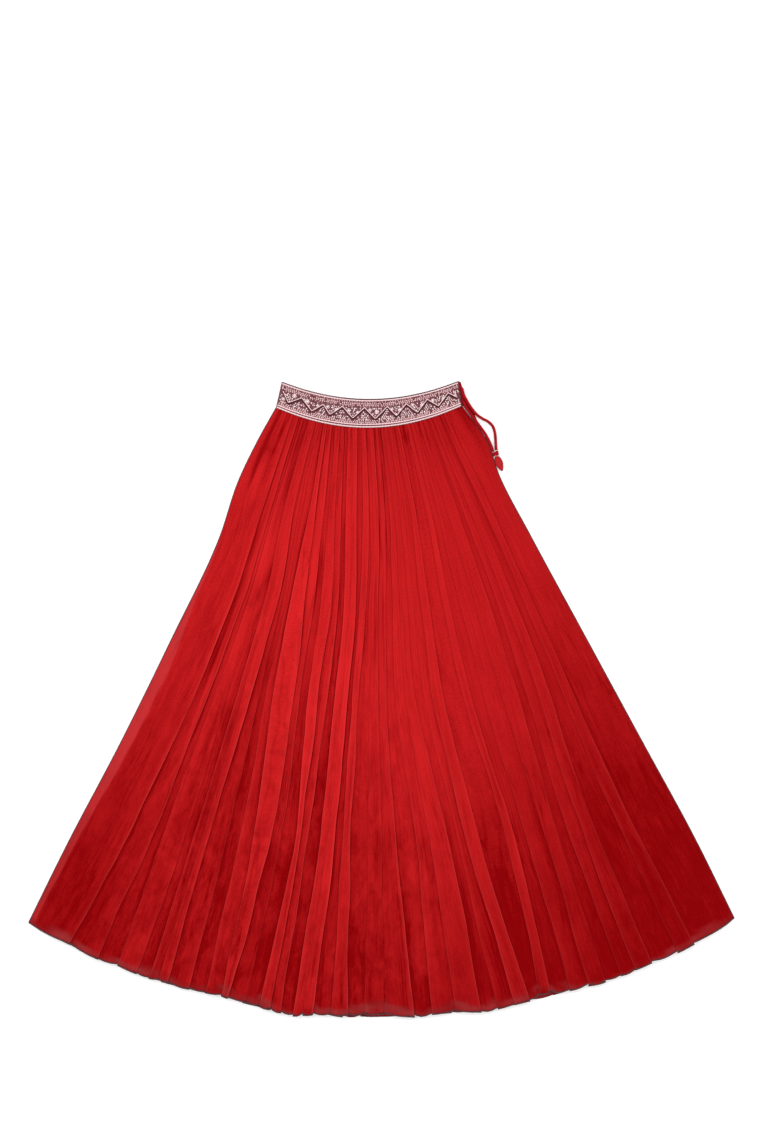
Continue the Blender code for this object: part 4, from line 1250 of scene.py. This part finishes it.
# ---------------------------------------------------------------------------------------------
# The back of the skirt: a second length of the same organza in 24 wider pleats. It lies face
# down under the rest, its folded edges pressed flat on the surface, and meets the front at the
# side seams.
# ---------------------------------------------------------------------------------------------
PLAIN = Look(0, 0, 0, 0, 5, 5, 5)
BACK_PLEATS = [
    Pleat(9.2, 8.6, 8.2, 7.8, 7.2, 6.8, +1, 14, 1.0),
    Pleat(12.6, 12.4, 12.2, 12.0, 11.2, 10.6, -1, 12, -2.0),
    Pleat(16.0, 16.2, 16.0, 15.4, 15.0, 15.2, +1, 14, -1.0),
    Pleat(19.2, 19.6, 19.8, 19.6, 19.2, 18.8, -1, 12, 2.0),
    Pleat(22.6, 23.2, 23.6, 23.4, 23.2, 22.2, +1, 14, 0.0),
    Pleat(26.4, 27.0, 27.0, 27.2, 26.4, 26.6, +1, 12, -3.0),
    Pleat(29.2, 30.0, 30.4, 30.2, 30.4, 30.2, -1, 12, 1.0),
    Pleat(33.0, 33.4, 33.8, 34.2, 34.0, 33.6, +1, 14, 3.0),
    Pleat(36.2, 37.0, 37.2, 37.0, 37.6, 37.8, -1, 10, -1.0),
    Pleat(39.8, 40.2, 40.6, 41.0, 41.0, 41.4, +1, 14, -2.0),
    Pleat(43.4, 43.6, 43.8, 43.6, 44.2, 44.6, +1, 12, 2.0),
    Pleat(46.6, 47.0, 47.0, 47.0, 47.0, 47.0, -1, 12, 0.0),
    Pleat(53.0, 53.0, 53.0, 53.0, 53.0, 53.0, +1, 14, 0.0),
    Pleat(56.2, 56.2, 56.6, 56.8, 56.2, 56.4, -1, 12, -2.0),
    Pleat(59.8, 59.6, 60.0, 60.2, 60.4, 60.0, +1, 14, 1.0),
    Pleat(63.0, 63.2, 63.2, 63.0, 63.6, 64.0, -1, 12, 3.0),
    Pleat(66.6, 66.8, 66.8, 67.2, 67.4, 67.2, -1, 12, -1.0),
    Pleat(70.2, 70.0, 70.4, 70.6, 70.4, 71.0, +1, 14, 2.0),
    Pleat(73.6, 73.8, 73.6, 74.0, 74.6, 74.4, -1, 10, 4.0),
    Pleat(77.2, 77.0, 77.4, 77.2, 77.8, 78.2, +1, 14, 3.0),
    Pleat(80.8, 81.0, 80.8, 81.2, 81.4, 82.0, -1, 12, 5.0),
    Pleat(84.4, 84.2, 84.6, 84.8, 85.2, 85.6, +1, 12, 6.0),
    Pleat(87.6, 87.8, 88.0, 88.4, 88.8, 89.4, -1, 10, 4.0),
    Pleat(90.8, 91.4, 91.8, 92.2, 92.8, 93.2, -1, 12, 4.0),
]
BACK_CLOTH_ROWS = 110
BACK_HEM_ROLL = 0.5 * MM


def back_top(_down):
    """The back's folded edges stand out alike from the waist to the hem."""
    return 1.3 * LAYER


def back_height(z, _from_side, down):
    """The back lies face down, so its folded edges are nearest to the surface."""
    return BACK_OUTER + np.clip(back_top(down) - z, 0, 2 * LAYER)


back_points, back_data, back_places = pleated_cloth(
    BACK_PLEATS, BACK_CLOTH_ROWS, back_top, back_height, True,
    seeded_grooves(len(BACK_PLEATS) + 1, 21), [PLAIN] * (len(BACK_PLEATS) + 1), [], [],
)
back_cloth = cloth_piece("back_pleats", back_points, back_data, back_places, organza, flip=True)
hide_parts("skirt_back")
back_hem = hem_roll("back_rolled_hem", back_points[-1], BACK_HEM_ROLL)


# ---------------------------------------------------------------------------------------------
# The linings: two plain panels of satin between the back and the front. They stop short of the
# side seams and 13 mm above the hem, where they are turned up once and stitched.
# ---------------------------------------------------------------------------------------------
LINING_ABOVE_HEM = 0.013
LINING_ROWS, LINING_COLUMNS = 70, 110
TURNED_HEM = 0.018
SEWN_LINE = 2.5 * MM
LINING_BACK_EDGE, LINING_BACK_FLAT = BACK_OUTER + LAYER, BACK_OUTER + 3 * LAYER
LINING_FRONT_EDGE, LINING_FRONT_FLAT = BACK_OUTER + 2 * LAYER, BACK_OUTER + 4 * LAYER
SATIN_DEEP, SATIN_BRIGHT = (0.17, 0.001, 0.003), (0.40, 0.007, 0.010)
satin = silk_material("satin", SATIN_DEEP, SATIN_BRIGHT, SATIN_DEEP, SATIN_BRIGHT, SATIN_BRIGHT)


def lining_cloth(name, node_name, edge_z, flat_z, seed, flip):
    """One lining: it rises from its edges to its flat middle, with a line where its hem is sewn."""
    points, data, places = [], [], []
    short = 1 - LINING_ABOVE_HEM / DROP_MIDDLE
    for down in np.linspace(0, short, LINING_ROWS):
        left, right = side_edges(down)
        x = np.linspace(left + lining_inset(down), right - lining_inset(down), LINING_COLUMNS)
        rise = climb(np.minimum(x - left, right - x), down)
        ripple = 0.12 * MM * lattice_noise(x / 0.03, down / 0.2, seed) * rise
        z = between(edge_z, flat_z, rise) + ripple
        points.append(np.column_stack([x, skirt_y(x, down, left, right), z]))
        tone = 0.5 + 0.2 * lattice_noise(x / 0.02, down / 0.1, seed + 1)
        sewn = 1 - ease(abs((short - down) * DROP_MIDDLE - TURNED_HEM) / SEWN_LINE)
        data.append(np.column_stack([tone - 0.5 * sewn, 0 * x, 0 * x, 1 + 0 * x]))
        places.append(np.column_stack([x, down * DROP_MIDDLE + 0 * x]))
    made = cloth_piece(name, np.array(points), np.array(data), np.array(places), satin, flip)
    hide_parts(node_name)


lining_cloth("back_lining", "lining_back", LINING_BACK_EDGE, LINING_BACK_FLAT, 31, True)
lining_cloth("front_lining", "lining_front", LINING_FRONT_EDGE, LINING_FRONT_FLAT, 37, False)


# ---------------------------------------------------------------------------------------------
# The waistband: two curved bands of stiffened maroon silk, lined and 2.2 mm thick. The back one
# lies on the surface. The front one rests on the gathers at the seam and on the back one above.
# ---------------------------------------------------------------------------------------------
BAND_TOP_LEFT, BAND_TOP_RIGHT = -0.1721, 0.1332
BAND_MIDDLE_HEIGHT = 0.0507
BAND_LEFT_HEIGHT, BAND_RIGHT_HEIGHT = 0.0455, 0.0432
BAND_WALL = 2.2 * MM
SEAM_GAP = 0.3 * MM
BAND_ENDS = 1 / 16
BAND_FRONT_REST = BAND_WALL * 1.5 + SEAM_GAP
BAND_FRONT_LIFT = 5.0 * MM
BAND_COLUMNS, BAND_ROWS = 200, 34
BAND_ROUNDING = 0.9 * MM
BAND_EDGE_SHARE = 0.45
BAND_WIDTH = SECTIONS[0].right - SECTIONS[0].left


def band_point(share, up):
    """Place in plan of a point of the band: share across, and up from the seam to the top."""
    left = between(SECTIONS[0].left, BAND_TOP_LEFT, up)
    right = between(SECTIONS[0].right, BAND_TOP_RIGHT, up)
    left_y = SEAM_LEFT_RISE + BAND_LEFT_HEIGHT * up
    right_y = SEAM_RIGHT_RISE + BAND_RIGHT_HEIGHT * up
    sag = (left_y + right_y) / 2 - BAND_MIDDLE_HEIGHT * up
    y = SEAM_ABOVE_ORIGIN + between(left_y, right_y, share) - sag * 4 * share * (1 - share)
    return between(left, right, share), y + SEAM_GAP * (1 - up)


def band_front_z(share, up):
    in_from_end = np.minimum(share, 1 - share) / BAND_ENDS
    return BAND_FRONT_REST + BAND_FRONT_LIFT * (1 - up) * np.minimum(1.0, in_from_end)


def band_back_z(share, up):
    return BAND_WALL / 2 + 0 * share * up


def band_silk_material():
    """Maroon silk under close rows of couched pale thread."""
    made = new_material("band_silk", 0.5, sheen=0.1)
    place = object_places(made)
    threads = noise_over(made, place, 620.0, 2.0, 0.6)
    wide = noise_over(made, place, 130.0, 2.0, 0.5)
    worked = maths(made, "ADD", threads, maths(made, "MULTIPLY", wide, 0.3))
    worked = ramp_between(made, worked, 0.66, 0.86)
    colour = mixed_colour(made, worked, (0.085, 0.003, 0.008), (0.30, 0.07, 0.09))
    return finished(made, colour, bumped(made, threads, 0.0003, 0.8))


band_silk = band_silk_material()


def wall_mesh(x, y, top, bottom):
    """A closed wall over a grid of places in plan, with its top, its underside and its rim."""
    rows, columns = x.shape
    count = rows * columns
    points = [np.stack([x, y, z], axis=2).reshape(-1, 3) for z in (top, bottom)]
    faces = grid_faces(rows, columns)
    faces += [tuple(count + k for k in reversed(face)) for face in faces]
    number = np.arange(count).reshape(rows, columns)
    rim = [*number[0], *number[1:, -1], *number[-1, -2::-1], *number[-2:0:-1, 0]]
    for a, b in zip(rim, rim[1:] + rim[:1]):
        faces.append((a, b, b + count, a + count))
    return np.concatenate(points), faces


def band_shell(name, node_name, height):
    """One half of the band, its wall thinner towards its rounded edges."""
    share, up = np.meshgrid(np.linspace(0, 1, BAND_COLUMNS), np.linspace(1, 0, BAND_ROWS))
    in_from_end = np.minimum(share, 1 - share) * BAND_WIDTH
    in_from_edge = np.minimum(in_from_end, np.minimum(up, 1 - up) * BAND_MIDDLE_HEIGHT)
    rounded = np.sqrt(1 - (1 - np.minimum(1.0, in_from_edge / BAND_ROUNDING)) ** 2)
    half = BAND_WALL / 2 * between(BAND_EDGE_SHARE, 1.0, rounded)
    z = height(share, up)
    made = new_piece(name, *wall_mesh(*band_point(share, up), z + half, z - half), band_silk)
    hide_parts(node_name)
    return made


band_back = band_shell("band_back", "waistband_back", band_back_z)
band_front = band_shell("band_front", "waistband_front", band_front_z)


# ---------------------------------------------------------------------------------------------
# The embroidery on the band: couched cords and ropes of pale zari, a dark zigzag with a pale cord
# inside it, rows of small silver beads, and flowers of beads in the mouths of the zigzag.
# ---------------------------------------------------------------------------------------------
Corner = namedtuple("Corner", "share up")
ZIGZAG_CORNERS = [
    Corner(0.018, 0.64),
    Corner(0.057, 0.32),
    Corner(0.122, 0.65),
    Corner(0.186, 0.29),
    Corner(0.242, 0.62),
    Corner(0.284, 0.31),
    Corner(0.348, 0.66),
    Corner(0.409, 0.29),
    Corner(0.471, 0.67),
    Corner(0.533, 0.28),
    Corner(0.598, 0.68),
    Corner(0.648, 0.32),
    Corner(0.703, 0.69),
    Corner(0.763, 0.30),
    Corner(0.820, 0.68),
    Corner(0.878, 0.31),
    Corner(0.936, 0.67),
    Corner(0.982, 0.36),
]


def on_band(share, up, above):
    share, up = np.asarray(share, float), np.asarray(up, float)
    x, y = band_point(share, up)
    return np.stack([x, y, band_front_z(share, up) + BAND_WALL / 2 + above], axis=-1)


def thread_material(name, shade, glint, roughness):
    """Thread or beads: rather matt, with a fine painted highlight that changes at random from one fibre
    or facet to the next.
    """
    fibres = dict(scale=800.0, detail=2.0, depth=0.0002, strength=0.7)
    return textured_material(name, roughness, shade, glint, shine=0.2, **fibres)


pale_zari = thread_material("pale_zari", (0.66, 0.38, 0.40), (0.95, 0.74, 0.75), 0.5)
dark_zari = thread_material("dark_zari", (0.020, 0.006, 0.008), (0.30, 0.20, 0.21), 0.5)
maroon_thread = thread_material("maroon_thread", (0.018, 0.002, 0.003), (0.078, 0.004, 0.010), 0.7)

# the node that a rope stands for, its height up the band, where it starts and ends as shares of
# the band's width, its radius in millimetres and its thread
Rope = namedtuple("Rope", "name node up start end radius finish")
ROPES = [
    Rope("edge_rope_left", None, 0.990, 0.006, 0.330, 0.95, dark_zari),
    Rope("edge_rope", None, 0.988, 0.334, 0.994, 0.85, maroon_thread),
    Rope("upper_rope", "zari_rope_upper", 0.940, 0.006, 0.994, 1.20, pale_zari),
    Rope("lower_bead_cord", None, 0.125, 0.006, 0.994, 1.10, pale_zari),
    Rope("lower_rope", "zari_rope_lower", 0.040, 0.006, 0.994, 1.20, pale_zari),
]
ROPE_SIDES = 8
ROPE_STEP = 0.8 * MM
ROPE_TWIST = 2 * pi / (5.5 * MM)
PLY_RELIEF = 0.16


def rope_piece(name, path, radius, finish):
    """Two plies twisted together, laid on the band and couched down."""
    turns = 2 * angles_round(ROPE_SIDES)[None, :] - ROPE_TWIST * run_along(path)[:, None]
    plies = 1 + PLY_RELIEF * np.cos(turns)
    made = new_piece(name, *tube_mesh(path, radius * MM * plies, ROPE_SIDES), finish)
    return made


for rope in ROPES:
    shares = np.linspace(rope.start, rope.end, int((rope.end - rope.start) * BAND_WIDTH / ROPE_STEP))
    path = on_band(shares, rope.up, 0.5 * rope.radius * MM)
    made = rope_piece(rope.name, path, rope.radius, rope.finish)
    if rope.node:
        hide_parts(rope.node)


def zigzag_path(lift):
    """The zigzag on the band, its corners softened, moved up the band by lift millimetres."""
    stops = run_along(np.multiply(ZIGZAG_CORNERS, (BAND_WIDTH, BAND_MIDDLE_HEIGHT)))
    line = points_at(np.arange(0, stops[-1], ROPE_STEP), stops, ZIGZAG_CORNERS)
    for _ in range(CORNER_SOFTENINGS):
        line[1:-1] = (line[:-2] + 2 * line[1:-1] + line[2:]) / 4
    return on_band(line[:, 0], line[:, 1] + lift * MM / BAND_MIDDLE_HEIGHT, ZIGZAG_ABOVE)


ZIGZAG_DARK_RADIUS, ZIGZAG_PALE_RADIUS = 1.10, 0.80
ZIGZAG_DARK_LIFT, ZIGZAG_PALE_LIFT = -0.6, 2.0
ZIGZAG_ABOVE = 0.5 * MM
CORNER_SOFTENINGS = 3
zigzag_dark = rope_piece(
    "zigzag_dark_cord", zigzag_path(ZIGZAG_DARK_LIFT), ZIGZAG_DARK_RADIUS, maroon_thread
)
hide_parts("zari_zigzag")
rope_piece("zigzag_pale_cord", zigzag_path(ZIGZAG_PALE_LIFT), ZIGZAG_PALE_RADIUS, pale_zari)

# beads, each a low dome
BEAD_SIDES = 7
BEAD_RING_ANGLES = (-0.15 * pi, 0.115 * pi, 0.38 * pi)
BEAD_HEIGHT_SHARE = 0.8
BEAD_ABOVE = 0.15 * MM
Bead = namedtuple("Bead", "share up radius")


def bead_shape():
    """A unit dome: rings from its rim to just below its crown, and the crown itself."""
    turns = angles_round(BEAD_SIDES)
    points = [(cos(r) * cos(t), cos(r) * sin(t), sin(r)) for r in BEAD_RING_ANGLES for t in turns]
    crown = len(points)
    last = crown - BEAD_SIDES
    faces = [(a, d, c, b) for a, b, c, d in tube_faces(len(BEAD_RING_ANGLES), BEAD_SIDES)[:-2]]
    faces += [(last + k, last + (k + 1) % BEAD_SIDES, crown) for k in range(BEAD_SIDES)]
    faces.append(tuple(reversed(range(BEAD_SIDES))))
    return np.array([*points, (0, 0, 1)]), faces


def beads_piece(name, beads, finish):
    """All the beads of one kind, each a low dome on the band, joined in one piece."""
    shape, shape_faces = bead_shape()
    shares, ups, radii = zip(*beads)
    points, faces = [], []
    for k, (radius, centre) in enumerate(zip(radii, on_band(shares, ups, BEAD_ABOVE))):
        points.append(shape * radius * MM * (1, 1, BEAD_HEIGHT_SHARE) + centre)
        faces += [tuple(k * len(shape) + i for i in face) for face in shape_faces]
    made = new_piece(name, np.concatenate(points), faces, finish)


# a row of beads: its height up the band, its spacing and radius in millimetres, and the share of
# its beads that is missing
BeadRow = namedtuple("BeadRow", "up pitch radius missing")
SILVER_ROWS = [
    BeadRow(0.885, 4.6, 0.95, 0.15),
    BeadRow(0.832, 3.4, 1.40, 0.06),
    BeadRow(0.776, 3.6, 1.35, 0.10),
    BeadRow(0.728, 5.4, 1.00, 0.20),
    BeadRow(0.252, 4.0, 1.35, 0.15),
    BeadRow(0.200, 3.5, 1.45, 0.06),
    BeadRow(0.163, 4.4, 1.00, 0.15),
]


def bead_rows(rows, chance):
    """Rows of beads along the band, a little uneven, with some beads lost."""
    beads = []
    for row in rows:
        count = int(BAND_WIDTH / (row.pitch * MM))
        for k in range(count):
            if chance.random() > row.missing:
                share = between(0.008, 0.992, (k + 0.5 + chance.uniform(-0.12, 0.12)) / count)
                up = row.up + chance.uniform(-0.004, 0.004)
                beads.append(Bead(share, up, row.radius * chance.uniform(0.85, 1.1)))
    return beads


# a flower of beads round a sequin: its place, the radius of its ring and how many petals it has
Flower = namedtuple("Flower", "share up ring petals")
FLOWERS = [
    Flower(0.082, 0.66, 3.0, 7),
    Flower(0.028, 0.42, 2.6, 6),
    Flower(0.154, 0.62, 3.0, 7),
    Flower(0.214, 0.56, 2.4, 6),
    Flower(0.202, 0.42, 2.0, 5),
    Flower(0.268, 0.60, 2.6, 6),
    Flower(0.318, 0.55, 2.9, 7),
    Flower(0.385, 0.58, 2.8, 6),
    Flower(0.436, 0.52, 2.8, 6),
    Flower(0.502, 0.62, 2.4, 6),
    Flower(0.540, 0.55, 2.9, 8),
    Flower(0.622, 0.60, 2.6, 6),
    Flower(0.668, 0.55, 2.8, 7),
    Flower(0.738, 0.64, 2.6, 6),
    Flower(0.790, 0.55, 2.9, 7),
    Flower(0.850, 0.62, 2.6, 6),
    Flower(0.908, 0.55, 2.8, 7),
    Flower(0.970, 0.50, 2.4, 6),
]


FIELD_LOW, FIELD_HIGH, FIELD_STEP = 0.300, 0.705, 0.060
FIELD_PITCH = 3.6 * MM
CLEAR_OF_ZIGZAG, CLEAR_OF_FLOWER = 2.9 * MM, 2.6 * MM
FIELD_MISSING = 0.15


def zigzag_up(share):
    return np.interp(share, *zip(*ZIGZAG_CORNERS))


def from_zigzag(share, up):
    """Distance from a place on the band to the zigzag's line."""
    slope = abs(zigzag_up(share + 0.004) - zigzag_up(share - 0.004)) / 0.008
    slope = slope * BAND_MIDDLE_HEIGHT / BAND_WIDTH
    return abs(up - zigzag_up(share)) * BAND_MIDDLE_HEIGHT / np.hypot(1, slope)


def from_flower(flower, share, up):
    apart = np.hypot((share - flower.share) * BAND_WIDTH, (up - flower.up) * BAND_MIDDLE_HEIGHT)
    return apart - flower.ring * MM


def field_beads(chance):
    """Small beads that fill the field between the rows, clear of the zigzag and the flowers."""
    beads = []
    count = int(BAND_WIDTH / FIELD_PITCH)
    for up in np.arange(FIELD_LOW, FIELD_HIGH, FIELD_STEP):
        offset = 0.5 * (int(up / FIELD_STEP) % 2)
        for k in range(count):
            share = (k + offset + chance.uniform(-0.2, 0.2)) / count
            if not 0.01 < share < 0.99 or chance.random() < FIELD_MISSING:
                continue
            if from_zigzag(share, up) < CLEAR_OF_ZIGZAG:
                continue
            if min(from_flower(flower, share, up) for flower in FLOWERS) > CLEAR_OF_FLOWER:
                beads.append(Bead(share, up, chance.uniform(1.0, 1.6)))
    return beads


PETAL_SHARE, SEQUIN_SHARE = 0.42, 0.60


def petal_beads(flower):
    beads = []
    for angle in angles_round(flower.petals):
        share = flower.share + flower.ring * MM * cos(angle) / BAND_WIDTH
        up = flower.up + flower.ring * MM * sin(angle) / BAND_MIDDLE_HEIGHT
        beads.append(Bead(share, up, PETAL_SHARE * flower.ring))
    return beads


bead_chance = np.random.default_rng(43)
all_rows = bead_rows(SILVER_ROWS, bead_chance)
field = field_beads(bead_chance)
petals = [bead for flower in FLOWERS for bead in petal_beads(flower)]
sequins = [Bead(flower.share, flower.up, SEQUIN_SHARE * flower.ring) for flower in FLOWERS]
pearl = thread_material("pearl_beads", (0.86, 0.68, 0.69), (1.00, 0.92, 0.91), 0.3)
silver_beads = thread_material("silver_beads", (0.58, 0.29, 0.31), (0.98, 0.73, 0.74), 0.45)
beads_piece("silver_row_beads", all_rows, silver_beads)
beads_piece("field_beads", field[::2] + petals[::3], silver_beads)
beads_piece("pearl_beads", field[1::2] + [p for k, p in enumerate(petals) if k % 3], pearl)
beads_piece("flower_sequins", sequins, pearl)


# ---------------------------------------------------------------------------------------------
# The side opening at the wearer's left: a narrow facing of red silk beyond the end of the band
# and the seam, with a fine pale piping where the skirt's edge was finished.
# ---------------------------------------------------------------------------------------------
FACING_WALL = 1.2 * MM
FACING_EDGE_SHARE = 0.55
Place = namedtuple("Place", "x y")
FACING_BESIDE_BAND = [
    Place(0.1372, 0.5472),
    Place(0.1410, 0.5350),
    Place(0.1440, 0.5260),
    Place(0.1468, 0.5170),
    Place(0.1542, 0.5090),
]
FACING_BESIDE_SKIRT = [
    Place(0.1660, 0.4795),
    Place(0.1793, 0.4540),
]
OPENING_END = 0.06
FACING_ROWS, FACING_COLUMNS = 70, 12
PIPING_RADIUS = 0.55 * MM
PIPING_POINTS, PIPING_SIDES = 60, 8
PIPING_ABOVE, PIPING_ASIDE = 0.3 * MM, 0.9 * MM


def facing_inner_edge():
    """The facing's edge at the band and at the skirt, down to the end of the opening."""
    edge = []
    for up in np.linspace(1, 0, len(FACING_BESIDE_BAND)):
        x, y = band_point(1.0, up)
        edge.append((x + SEAM_GAP, y))
    for share in (0.5, 1.0):
        x = between(SECTIONS[0].right, side_edges(OPENING_END)[1], share)
        y = SEAM_ABOVE_ORIGIN + SEAM_RIGHT_RISE - DROP_RIGHT * OPENING_END * share
        edge.append((x + 1.2 * SEAM_GAP, y))
    return edge


def facing_mesh():
    """A thin wall between the facing's two edges, a little thinner along both."""
    outer = FACING_BESIDE_BAND + FACING_BESIDE_SKIRT
    stops = np.arange(len(outer))
    rows = np.linspace(0, stops[-1], FACING_ROWS)
    inner, outer = points_at(rows, stops, facing_inner_edge()), points_at(rows, stops, outer)
    share = np.linspace(0, 1, FACING_COLUMNS)
    x, y = (between(inner[:, k, None], outer[:, k, None], share) for k in (0, 1))
    rounded = np.sqrt(1 - (2 * share - 1) ** 6)
    return wall_mesh(x, y, FACING_WALL * between(FACING_EDGE_SHARE, 1.0, rounded) + 0 * x, 0 * x)


def piping_mesh():
    """The piping lies on the facing's inner edge, below the band."""
    stops = np.linspace(0, len(FACING_BESIDE_SKIRT), PIPING_POINTS)
    edge = facing_inner_edge()[len(FACING_BESIDE_BAND) - 1:]
    x, y = points_at(stops, range(len(edge)), edge).T
    path = np.column_stack([x + PIPING_ASIDE, y, 0 * x + FACING_WALL + PIPING_ABOVE])
    return tube_mesh(path, PIPING_RADIUS, PIPING_SIDES)


facing = new_piece("opening_facing", *facing_mesh(), bias_silk)
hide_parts("side_placket")
piping = new_piece("opening_piping", *piping_mesh(), pale_zari)


# ---------------------------------------------------------------------------------------------
# Floor and light: a plain white surface under a white sky and two big soft lights.
# ---------------------------------------------------------------------------------------------
FLOOR_HALF = 9.0
FLOOR_BELOW = 0.3 * MM


def surface_material():
    """Matt white with a faint cloudiness and a slight light of its own."""
    made = new_material("white_surface", 0.8)
    grain = noise_over(made, object_places(made), 3.0, 3.0)
    colour = mixed_colour(made, grain, (0.93, 0.93, 0.93), (0.95, 0.95, 0.95))
    feed(made, shader_of(made), Base_Color=colour, Emission_Color=WHITE, Emission_Strength=0.15)
    return made


floor_data = bpy.data.meshes.new("surface")
corners = [(-1, -1), (1, -1), (1, 1), (-1, 1)]
corners = [(x * FLOOR_HALF, y * FLOOR_HALF, -FLOOR_BELOW) for x, y in corners]
floor_data.from_pydata(corners, [], [(0, 1, 2, 3)])
floor_data.materials.append(surface_material())
floor = bpy.data.objects.new("surface", floor_data)
bpy.context.scene.collection.objects.link(floor)

Lamp = namedtuple("Lamp", "name place aim size power")
LAMPS = [
    Lamp("key_light", (-1.7, 1.7, 2.6), (0.0, 0.1, 0.0), 2.0, 40.0),
    Lamp("fill_light", (1.9, 0.6, 2.8), (0.0, 0.0, 0.0), 2.8, 16.0),
]
for lamp in LAMPS:
    light = bpy.data.lights.new(lamp.name, "AREA")
    light.shape = "SQUARE"
    light.size = lamp.size
    light.energy = lamp.power
    holder = bpy.data.objects.new(lamp.name, light)
    holder.location = lamp.place
    holder.rotation_euler = (Vector(lamp.place) - Vector(lamp.aim)).to_track_quat("Z", "Y").to_euler()
    bpy.context.scene.collection.objects.link(holder)

SKY_STRENGTH = 0.96
sky = bpy.data.worlds.new("white_sky")
bpy.context.scene.world = sky
sky.use_nodes = True
feed(sky, sky.node_tree.nodes["Background"], Color=WHITE, Strength=SKY_STRENGTH)
bpy.context.scene.view_settings.view_transform = "Standard"
